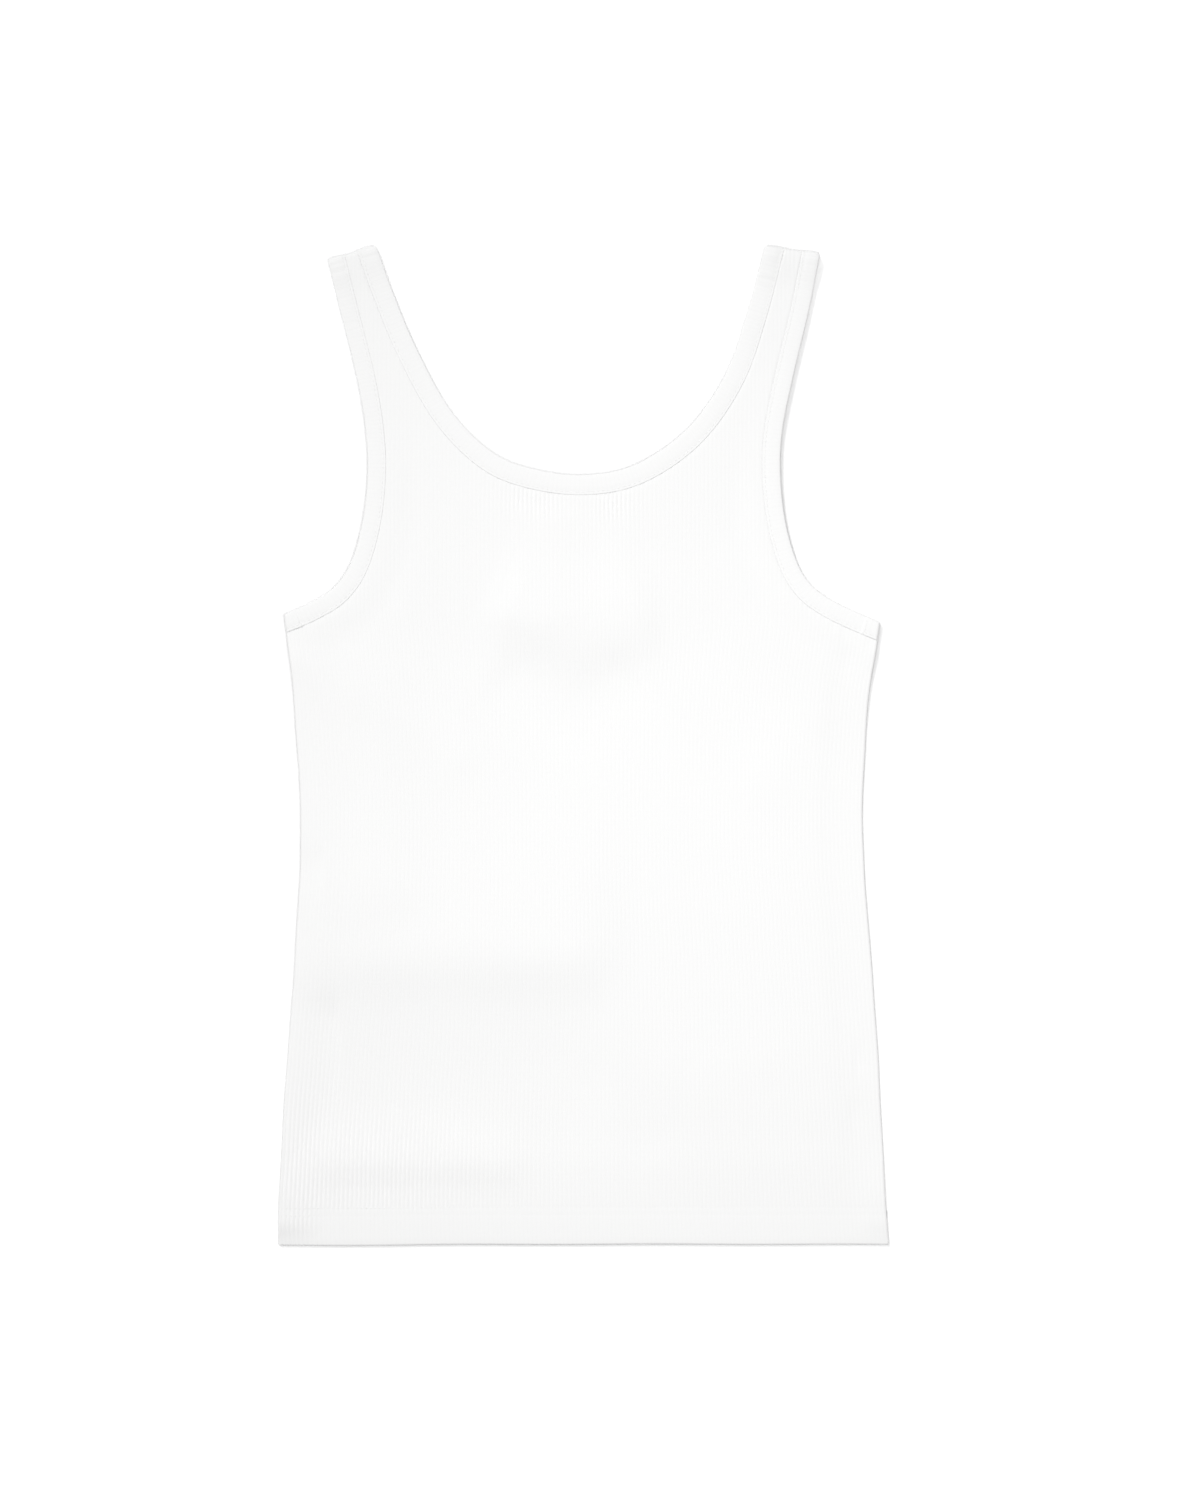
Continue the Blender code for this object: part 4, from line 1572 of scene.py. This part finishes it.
# ---------------------------------------------------------------- stitches
@dataclass
class Stitching:
    """Rows of single stitches, each a short round thread whose ends sink into the cloth."""

    from_edge: ClassVar[float] = 1.7   # a binding's stitch line lies this far inside its edge
    groove: ClassVar[float] = 0.48     # and this far below its crown

    name: str
    pitch: float = 2.9
    length: float = 2.35
    radius: float = 0.17
    flatness: float = 0.6          # a thread's height over its width
    bluntness: int = 6             # the higher, the nearer to its ends a thread stays thick
    arch: float = 0.07
    clearance: float = 0.06        # no stitch comes nearer to the surface beneath
    sides: int = 6
    stations: tuple[float, ...] = (-0.86, -0.42, 0.42, 0.86)
    hem_sunk: float = 0.8          # a hem's stitches lie this share of the radius deeper
    tack_rise: float = 0.38        # a tack's stitches stand this much higher than a band's
    tack_start: float = 1.4        # and start this far from the folded edge
    tack_end: float = 0.6          # and end this far from the sewn one
    tack_gap: float = 0.25
    tack_bow: float = 0.35         # its line wanders this much to either side
    tack_wave: float = 1.9         # and so far along a wave, in radians, at each stitch
    probe: float = 0.4             # a stitch's direction is measured over this distance
    hem_probe: float = 0.3         # and over this one on a hem
    spots: list[np.ndarray] = field(default_factory=list)
    runs: list[np.ndarray] = field(default_factory=list)
    ups: list[np.ndarray] = field(default_factory=list)
    piece: bpy.types.Object = field(init=False)

    def add(self, spots: np.ndarray, runs: np.ndarray, ups: np.ndarray) -> None:
        """Add stitches.

        Args:
            spots: the middle of each stitch.
            runs: the direction in which each runs.
            ups: the direction out of the cloth at each.
        """
        self.spots.append(spots)
        self.runs.append(unit(runs))
        self.ups.append(unit(ups))

    def template(self) -> tuple[np.ndarray, list[tuple[int, ...]], np.ndarray]:
        """One stitch.

        Returns:
            Its points as (along, aside, up), its faces, and its knit coordinates.
        """
        angle = np.arange(self.sides) * 2.0 * math.pi / self.sides
        points = [(-self.length / 2, 0.0, -self.arch)]
        for t in self.stations:
            thick = self.radius * math.sqrt(1.0 - abs(t) ** self.bluntness)
            rise = self.arch * (1.0 - 2.0 * t * t)
            along = t * self.length / 2
            high = thick * self.flatness
            points += [(along, thick * math.cos(a), high * math.sin(a) + rise) for a in angle]
        points.append((self.length / 2, 0.0, -self.arch))
        last, rings = len(points) - 1, len(self.stations)
        faces: list[tuple[int, ...]] = []
        for k in range(self.sides):
            after = (k + 1) % self.sides
            faces.append((0, 1 + after, 1 + k))
            for ring in range(rings - 1):
                a, b = 1 + ring * self.sides, 1 + (ring + 1) * self.sides
                faces.append((a + k, a + after, b + after, b + k))
            end = 1 + (rings - 1) * self.sides
            faces.append((last, end + k, end + after))
        places = np.array(points)
        turns = np.arctan2(places[:, 2], places[:, 1]) / (2.0 * math.pi)
        return places, faces, np.column_stack([places[:, 0], turns])

    def build(self) -> None:
        """Join all stitches in one mesh."""
        spots, runs, ups = (np.vstack(part) for part in (self.spots, self.runs, self.ups))
        asides = unit(np.cross(ups, runs))
        ups = np.cross(runs, asides)
        places, faces, knit = self.template()
        axes = np.stack([runs, asides, ups], axis=1)
        stitches = spots[:, None, :] + places @ axes
        lowest = stitches[..., 2].min(axis=1, keepdims=True)
        stitches[..., 2] += np.maximum(self.clearance - lowest, 0.0)
        vertices = stitches.reshape(-1, 3)
        all_faces = [
            tuple(corner + number * len(places) for corner in face)
            for number in range(len(spots))
            for face in faces
        ]
        corners = np.array([corner for face in faces for corner in face])
        shift = np.repeat(np.arange(len(spots)) * self.pitch, len(corners))
        all_knit = np.tile(knit[corners], (len(spots), 1)) + np.outer(shift, (1.0, 0.0))
        self.piece = make_object(self.name, vertices, all_faces, all_knit)

    def dress(self, material: bpy.types.Material) -> None:
        """Finish the thread."""
        dress(self.piece, material)
        report(self.piece)

    def along_binding(self, binding: Binding) -> None:
        """Stitches along the sewn edge of a binding.

        Args:
            binding: the strip.
        """
        count = round(binding.length / self.pitch)
        walked = (np.arange(count) + 0.5) * binding.length / count
        self.on_binding(binding, walked, binding.band - self.from_edge, across=False)

    def on_binding(
        self, binding: Binding, walked: np.ndarray, depth: float | np.ndarray, across: bool
    ) -> None:
        """Stitches on a binding's outer skin.

        Args:
            binding: the strip.
            walked: distances along it.
            depth: distance of each stitch from the folded edge.
            across: True for stitches that run across the strip.
        """
        depth = np.broadcast_to(depth, walked.shape)
        sunk = self.groove - (self.tack_rise if across else 0.0)
        height = np.full(len(walked), BINDING_TOP - sunk + self.radius / 4)
        here = binding.place(walked, depth, height)
        ahead = binding.place(walked + self.probe, depth, height)
        inner = binding.place(walked, depth + self.probe, height)
        outwards = np.cross(inner - here, ahead - here)
        turn = binding.route.at(walked)[3]
        outwards *= np.where(outwards[:, 2] * np.cos(turn) < 0.0, -1.0, 1.0)[:, None]
        self.add(here, (inner if across else ahead) - here, outwards)

    def tack(self, binding: Binding, start: float, layer: Layer) -> None:
        """A short row across a binding, where its folded end is sewn down.

        Args:
            binding: the strip.
            start: distance of the row from the strip's end.
            layer: the layer on which that end lies.
        """
        place = start if layer is Layer.BACK else binding.length - start
        step = self.length + self.tack_gap
        depth = np.arange(self.tack_start, binding.band - self.tack_end, step) + self.length / 2
        bowed = place + self.tack_bow * np.cos(np.arange(len(depth)) * self.tack_wave)
        self.on_binding(binding, bowed, depth, across=True)

    def along_hem(self, panel: Panel) -> None:
        """Twin rows of stitches above a hem's fold.

        Args:
            panel: the panel whose hem it is.
        """
        for row in panel.stitch_rows:
            left, right = (float(seam_at(side, row)) for side in Side)
            inset = panel.side_round / 2
            count = round((right - left - 2 * inset) / self.pitch)
            x = left + inset + (np.arange(count) + 0.5) * (right - left - 2 * inset) / count
            where = np.column_stack([x, np.full(count, row)])
            spots = panel.surface(where)
            run = panel.surface(where + np.array([self.hem_probe, 0.0])) - spots
            run[:, 2] = 0.0
            spots[:, 2] -= panel.up * self.radius * self.hem_sunk
            self.add(spots, run, np.tile((0.0, 0.0, float(panel.up)), (count, 1)))


# ---------------------------------------------------------------- shader groups
@dataclass
class Nodes:
    """Small helper that adds and links the nodes of one tree."""

    tree: bpy.types.NodeTree

    def add(self, kind: str, **settings: object) -> bpy.types.Node:
        """Add a node.

        Args:
            kind: the node's type.
            **settings: its properties.

        Returns:
            The new node.
        """
        node = self.tree.nodes.new(kind)
        for name, value in settings.items():
            setattr(node, name, value)
        return node

    def link(self, source: bpy.types.NodeSocket, target: bpy.types.NodeSocket) -> None:
        """Link an output to an input."""
        self.tree.links.new(source, target)

    def feed(self, target: bpy.types.NodeSocket, value: bpy.types.NodeSocket | float) -> None:
        """Feed an input.

        Args:
            target: the input.
            value: an output to link to it, or a number to set it to.
        """
        if isinstance(value, (int, float)):
            target.default_value = value
        else:
            self.link(value, target)

    def math(self, operation: str, *values: bpy.types.NodeSocket | float) -> bpy.types.NodeSocket:
        """Add a math node.

        Args:
            operation: what it works out.
            *values: its inputs.

        Returns:
            Its result.
        """
        node = self.add("ShaderNodeMath", operation=operation)
        for target, value in zip(node.inputs, values):
            self.feed(target, value)
        return node.outputs[0]

    def noise(
        self, scale: bpy.types.NodeSocket | float, detail: float, roughness: float = 0.5
    ) -> bpy.types.NodeSocket:
        """Add a noise over the object's own coordinates.

        Args:
            scale: features per metre.
            detail: finer layers of noise on the first one.
            roughness: how strong those are.

        Returns:
            Its value, from 0 to 1.
        """
        place = self.add("ShaderNodeTexCoord")
        node = self.add("ShaderNodeTexNoise")
        self.feed(node.inputs["Scale"], scale)
        self.feed(node.inputs["Detail"], detail)
        self.feed(node.inputs["Roughness"], roughness)
        self.link(place.outputs["Object"], node.inputs["Vector"])
        return node.outputs["Fac"]


def new_group(
    name: str, inputs: Sequence[tuple[str, str, float]], outputs: Sequence[tuple[str, str]]
) -> tuple[Nodes, bpy.types.Node, bpy.types.Node]:
    """An empty shader group.

    Args:
        name: the group's name.
        inputs: name, socket kind and value of each input.
        outputs: name and socket kind of each output.

    Returns:
        The group's nodes, its input node and its output node.
    """
    tree = bpy.data.node_groups.new(name, "ShaderNodeTree")
    for label, kind, value in inputs:
        socket = tree.interface.new_socket(name=label, in_out="INPUT", socket_type=kind)
        if kind == "NodeSocketFloat":
            socket.default_value = value
    for label, kind in outputs:
        tree.interface.new_socket(name=label, in_out="OUTPUT", socket_type=kind)
    nodes = Nodes(tree)
    return nodes, nodes.add("NodeGroupInput"), nodes.add("NodeGroupOutput")


def knit_loops_group() -> bpy.types.NodeTree:
    """Fine loops of a knit on its ribs: V shapes stacked in wales, and a mask of the grooves, where
    painted shade goes.

    Returns:
        The group.
    """
    nodes, given, made = new_group(
        "KnitLoops",
        [
            ("Knit", "NodeSocketVector", 0.0),
            ("Wales per Rib", "NodeSocketFloat", 3.0),
            ("Course Height", "NodeSocketFloat", 0.8),
        ],
        [("Height", "NodeSocketFloat"), ("Groove", "NodeSocketFloat")],
    )
    slant, loop_share = 0.55, 0.22
    split = nodes.add("ShaderNodeSeparateXYZ")
    nodes.link(given.outputs["Knit"], split.inputs[0])
    wale = nodes.math("MULTIPLY", split.outputs["X"], given.outputs["Wales per Rib"])
    aside = nodes.math("SUBTRACT", nodes.math("FRACT", wale), 0.5)
    aside = nodes.math("MULTIPLY", nodes.math("ABSOLUTE", aside), 2.0)
    course = nodes.math("DIVIDE", split.outputs["Y"], given.outputs["Course Height"])
    slanted = nodes.math("ADD", course, nodes.math("MULTIPLY", aside, slant))
    wave = nodes.math("SINE", nodes.math("MULTIPLY", slanted, 2.0 * math.pi))
    loop = nodes.math("MULTIPLY_ADD", wave, loop_share, 1.0 - loop_share)
    crown = nodes.math("SUBTRACT", 1.0, nodes.math("POWER", aside, 3.0))
    nodes.link(nodes.math("MULTIPLY", crown, loop), made.inputs["Height"])
    rib = nodes.math("FRACT", split.outputs["X"])
    groove = nodes.math("ABSOLUTE", nodes.math("MULTIPLY_ADD", rib, 2.0, -1.0))
    nodes.link(nodes.math("POWER", groove, 4.0), made.inputs["Groove"])
    return nodes.tree


def cotton_fuzz_group() -> bpy.types.NodeTree:
    """Short fibres of spun cotton, as a height and, in larger patches, as a mask.

    Returns:
        The group.
    """
    nodes, given, made = new_group(
        "CottonFuzz",
        [("Fineness", "NodeSocketFloat", 2600.0)],
        [("Height", "NodeSocketFloat"), ("Mask", "NodeSocketFloat")],
    )
    for share, label in ((1.0, "Height"), (0.28, "Mask")):
        fineness = nodes.math("MULTIPLY", given.outputs["Fineness"], share)
        nodes.link(nodes.noise(fineness, detail=3.0, roughness=0.65), made.inputs[label])
    return nodes.tree


def cloth_tone_and_shade_group() -> bpy.types.NodeTree:
    """Colour of the cloth: painted shade that darkens it in the grooves, and a tone slightly uneven
    over a hand's breadth.

    Returns:
        The group.
    """
    nodes, given, made = new_group(
        "ClothToneAndGrooveShade",
        [
            ("Base", "NodeSocketColor", 0.0),
            ("Groove", "NodeSocketFloat", 0.0),
            ("Groove Depth", "NodeSocketFloat", 0.04),
            ("Fuzz", "NodeSocketFloat", 0.5),
            ("Unevenness", "NodeSocketFloat", 0.012),
        ],
        [("Color", "NodeSocketColor"), ("Roughness", "NodeSocketFloat")],
    )
    smoothest, fuzz_roughness = 0.82, 0.12
    patches = nodes.math("SUBTRACT", nodes.noise(scale=14.0, detail=2.0), 0.5)
    uneven = nodes.math("MULTIPLY", patches, given.outputs["Unevenness"])
    # painted shade: the colour is darkened in the grooves by the given share
    sunk = nodes.math("MULTIPLY", given.outputs["Groove"], given.outputs["Groove Depth"])
    tone = nodes.math("SUBTRACT", nodes.math("ADD", uneven, 1.0), sunk)
    scaled = nodes.add("ShaderNodeVectorMath", operation="SCALE")
    nodes.link(given.outputs["Base"], scaled.inputs[0])
    nodes.link(tone, scaled.inputs["Scale"])
    nodes.link(scaled.outputs[0], made.inputs["Color"])
    rough = nodes.math("MULTIPLY_ADD", given.outputs["Fuzz"], fuzz_roughness, smoothest)
    nodes.link(rough, made.inputs["Roughness"])
    return nodes.tree


@dataclass(frozen=True)
class Groups:
    """The shader groups that the finishes share."""

    loops: bpy.types.NodeTree
    fuzz: bpy.types.NodeTree
    tone: bpy.types.NodeTree

    @classmethod
    def built(cls) -> Groups:
        """Build every group once."""
        return cls(knit_loops_group(), cotton_fuzz_group(), cloth_tone_and_shade_group())


@dataclass(frozen=True)
class ClothFinish:
    """A matt cotton finish: rib knit, or thread where its loops are those of a twist."""

    name: str
    colour: tuple[float, float, float]
    wales: float = 3.0
    course: float = 0.8
    # painted shade: share by which the colour darkens in the grooves
    groove_shade: float = 0.016
    unevenness: float = 0.014
    fineness: float = 2600.0
    loop_height: float = 0.10      # millimetres
    fuzz_share: float = 0.35
    bump_strength: float = 0.55
    sheen: float = 0.07
    sheen_roughness: float = 0.5
    gloss: float = 0.16

    def placed(self, nodes: Nodes, group: bpy.types.NodeTree, **values: float) -> bpy.types.Node:
        """Place a shared group in the material.

        Args:
            nodes: the material's nodes.
            group: the group.
            **values: its inputs, with an underscore for each space in their names.

        Returns:
            The group's node.
        """
        node = nodes.add("ShaderNodeGroup", node_tree=group)
        for label, value in values.items():
            node.inputs[label.replace("_", " ")].default_value = value
        return node

    def material(self, groups: Groups) -> bpy.types.Material:
        """The finish as a material.

        Args:
            groups: the shared shader groups.

        Returns:
            The new material.
        """
        made = bpy.data.materials.new(self.name)
        made.use_nodes = True
        nodes = Nodes(made.node_tree)
        shader = made.node_tree.nodes["Principled BSDF"]
        knit = nodes.add("ShaderNodeUVMap", uv_map=KNIT_MAP)
        loops = self.placed(nodes, groups.loops, Wales_per_Rib=self.wales, Course_Height=self.course)
        fuzz = self.placed(nodes, groups.fuzz, Fineness=self.fineness)
        tone = self.placed(
            nodes, groups.tone, Groove_Depth=self.groove_shade, Unevenness=self.unevenness
        )
        tone.inputs["Base"].default_value = (*self.colour, 1.0)
        nodes.link(knit.outputs["UV"], loops.inputs["Knit"])
        # the groove mask places the painted shade in the colour
        nodes.link(loops.outputs["Groove"], tone.inputs["Groove"])
        nodes.link(fuzz.outputs["Mask"], tone.inputs["Fuzz"])
        height = nodes.math(
            "MULTIPLY_ADD", fuzz.outputs["Height"], self.fuzz_share, loops.outputs["Height"]
        )
        relief = nodes.add("ShaderNodeBump")
        relief.inputs["Strength"].default_value = self.bump_strength
        relief.inputs["Distance"].default_value = self.loop_height * MM
        nodes.link(height, relief.inputs["Height"])
        nodes.link(relief.outputs["Normal"], shader.inputs["Normal"])
        nodes.link(tone.outputs["Color"], shader.inputs["Base Color"])
        nodes.link(tone.outputs["Roughness"], shader.inputs["Roughness"])
        shader.inputs["Metallic"].default_value = 0.0
        shader.inputs["Sheen Weight"].default_value = self.sheen
        shader.inputs["Sheen Roughness"].default_value = self.sheen_roughness
        shader.inputs["Specular IOR Level"].default_value = self.gloss
        return made


BODY_RIB = ClothFinish("body_rib_knit", colour=(0.86, 0.86, 0.858))
BINDING_RIB = ClothFinish("binding_rib_knit", colour=(0.86, 0.86, 0.858), groove_shade=0.012)
THREAD = ClothFinish(
    "sewing_thread_twist",
    colour=(0.86, 0.86, 0.856),
    wales=1.0,
    course=0.25,
    groove_shade=0.02,
    loop_height=0.05,
    fineness=5200.0,
    sheen=0.2,
)


# ---------------------------------------------------------------- studio
@dataclass
class Lamp:
    """A round soft light near the garment."""

    name: str
    place: tuple[float, float, float]
    target: tuple[float, float, float]
    size: float
    power: float
    shown: bool = True             # whether the camera sees the lamp itself

    def build(self) -> None:
        """Place the light and aim it."""
        light = bpy.data.lights.new(self.name, "AREA")
        light.shape = "DISK"
        light.size = self.size
        light.energy = self.power
        self.aimed(light).visible_camera = self.shown

    def aimed(self, light: bpy.types.Light) -> bpy.types.Object:
        """Place a light.

        Args:
            light: the light's own data.

        Returns:
            Its object, turned towards its target.
        """
        thing = bpy.data.objects.new(self.name, light)
        bpy.context.scene.collection.objects.link(thing)
        thing.location = self.place
        aim = Vector(self.target) - Vector(self.place)
        thing.rotation_euler = aim.to_track_quat("-Z", "Y").to_euler()
        return thing


@dataclass
class Window(Lamp):
    """A far soft light, equally strong everywhere; its size is an angle in degrees."""

    def build(self) -> None:
        """Place the light and aim it."""
        light = bpy.data.lights.new(self.name, "SUN")
        light.angle = math.radians(self.size)
        light.energy = self.power
        self.aimed(light)


@dataclass
class Studio:
    """Floor, world, lights and the camera that looks straight down; lengths are metres."""

    frame_height: float = 0.93     # of the floor on the picture's long side
    centre: tuple[float, float] = (0.0037, -0.0037)
    lens: float = 85.0
    sensor: float = 36.0
    reach: float = 100.0           # the camera sees no further
    floor_size: float = 80.0
    floor_level: float = -0.05 * MM
    floor_tone: float = 0.905
    floor_roughness: float = 0.95
    glow_start: float = 0.16       # distance from the middle at which the floor starts to glow
    glow_end: float = 0.56
    glow: float = 0.32
    sky: float = 0.36
    backdrop: float = 0.93         # the sky as the camera sees it, as pale as the far floor
    lamps: tuple[Lamp, ...] = (
        Window("key", (-0.6, 0.95, 1.15), (0.0, 0.0, 0.0), 14.0, 1.32),
        Lamp("overhead", (0.07, 0.0, 1.05), (0.07, 0.0, 0.0), 0.6, 5.9, shown=False),
    )

    def build(self) -> None:
        """Build all of the surroundings."""
        self.floor()
        self.world()
        for lamp in self.lamps:
            lamp.build()
        self.camera()
        bpy.context.scene.view_settings.view_transform = "Standard"

    def floor(self) -> None:
        """A plain pale floor just under the garment."""
        half = self.floor_size / 2
        corners = [(-half, -half), (half, -half), (half, half), (-half, half)]
        mesh = bpy.data.meshes.new("floor")
        mesh.from_pydata([(*corner, self.floor_level) for corner in corners], [], [(0, 1, 2, 3)])
        mesh.materials.append(self.floor_paint())
        thing = bpy.data.objects.new("floor", mesh)
        bpy.context.scene.collection.objects.link(thing)

    def floor_paint(self) -> bpy.types.Material:
        """Matt white that glows a little away from the garment, as a lit backdrop does.

        Returns:
            The material.
        """
        paint = bpy.data.materials.new("floor_paint")
        paint.use_nodes = True
        nodes = Nodes(paint.node_tree)
        shader = paint.node_tree.nodes["Principled BSDF"]
        shader.inputs["Base Color"].default_value = (*(self.floor_tone,) * 3, 1.0)
        shader.inputs["Roughness"].default_value = self.floor_roughness
        shader.inputs["Specular IOR Level"].default_value = 0.0
        shader.inputs["Emission Strength"].default_value = self.glow
        place = nodes.add("ShaderNodeTexCoord")
        away = nodes.add("ShaderNodeVectorMath", operation="LENGTH")
        nodes.link(place.outputs["Object"], away.inputs[0])
        rise = nodes.add("ShaderNodeMapRange", interpolation_type="SMOOTHSTEP")
        rise.inputs["From Min"].default_value = self.glow_start
        rise.inputs["From Max"].default_value = self.glow_end
        nodes.link(away.outputs["Value"], rise.inputs["Value"])
        nodes.link(rise.outputs["Result"], shader.inputs["Emission Color"])
        return paint

    def world(self) -> None:
        """Even white light from all round, before a pale backdrop."""
        world = bpy.data.worlds.new("studio")
        world.use_nodes = True
        nodes = Nodes(world.node_tree)
        sky = world.node_tree.nodes["Background"]
        sky.inputs["Color"].default_value = (1.0, 1.0, 1.0, 1.0)
        seen = nodes.add("ShaderNodeLightPath").outputs["Is Camera Ray"]
        strength = nodes.math("MULTIPLY_ADD", seen, self.backdrop - self.sky, self.sky)
        nodes.link(strength, sky.inputs["Strength"])
        bpy.context.scene.world = world

    def camera(self) -> None:
        """A camera straight above, at the height that frames the floor as wanted."""
        data = bpy.data.cameras.new("camera")
        data.lens = self.lens
        data.sensor_width = self.sensor
        data.clip_end = self.reach
        thing = bpy.data.objects.new("camera", data)
        thing.location = (*self.centre, self.frame_height * self.lens / self.sensor)
        bpy.context.scene.collection.objects.link(thing)
        bpy.context.scene.camera = thing


# ---------------------------------------------------------------- the whole garment
@dataclass
class TankTop:
    """All pieces of the garment, in the order in which they lie and are sewn."""

    neck_corner: float = 2.4       # taken off the neck binding's corners at the shoulders
    arm_corner: float = 0.9        # and off an armhole binding's
    tack_inset: float = 0.9        # a tack lies this far inside the end of a doubled tab
    panels: dict[Layer, Panel] = field(default_factory=dict)

    def build_panels(self, material: bpy.types.Material) -> None:
        """Front first, and the back on it.

        Args:
            material: the body's rib knit.
        """
        for layer, rests_on in ((Layer.FRONT, ()), (Layer.BACK, ("front_panel",))):
            panel = Panel(layer)
            panel.build()
            panel.dress(material, rests_on)
            self.panels[layer] = panel

    def bindings(self) -> list[Binding]:
        """The neck's ring and both armholes' strips.

        Returns:
            The strips, not yet built.
        """
        neck = Binding("neck_binding", NECK_BAND, self.neck_corner, True, neck_route())
        arms = [
            Binding(
                f"armhole_binding_{side.value}", ARM_BAND, self.arm_corner, False, armhole_route(side)
            )
            for side in Side
        ]
        return [neck, *arms]

    def build_bindings(self, material: bpy.types.Material, thread: bpy.types.Material) -> None:
        """Every binding with its stitching.

        Args:
            material: the bindings' rib knit.
            thread: the stitches' finish.
        """
        for binding in self.bindings():
            binding.build()
            sewing = Stitching(binding.node + "_stitches")
            sewing.along_binding(binding)
            if not binding.closed:
                for layer in Layer:
                    sewing.tack(binding, binding.tab - self.tack_inset, layer)
            sewing.build()
            sewing.dress(thread)
            binding.dress(material, [sewing.piece])

    def build_hems(self, thread: bpy.types.Material) -> None:
        """Twin rows of stitches on both hems.

        Args:
            thread: the stitches' finish.
        """
        for layer, panel in self.panels.items():
            sewing = Stitching(f"{layer.value}_hem_stitches")
            sewing.along_hem(panel)
            sewing.build()
            sewing.dress(thread)


def main() -> None:
    """Build the studio, the finishes and every piece in order."""
    logging.basicConfig(level=logging.INFO, format="%(name)s %(message)s")
    Studio().build()
    groups = Groups.built()
    body, binding, thread = (
        finish.material(groups) for finish in (BODY_RIB, BINDING_RIB, THREAD)
    )
    garment = TankTop()
    garment.build_panels(body)
    garment.build_bindings(binding, thread)
    garment.build_hems(thread)


if __name__ == "__main__":
    main()
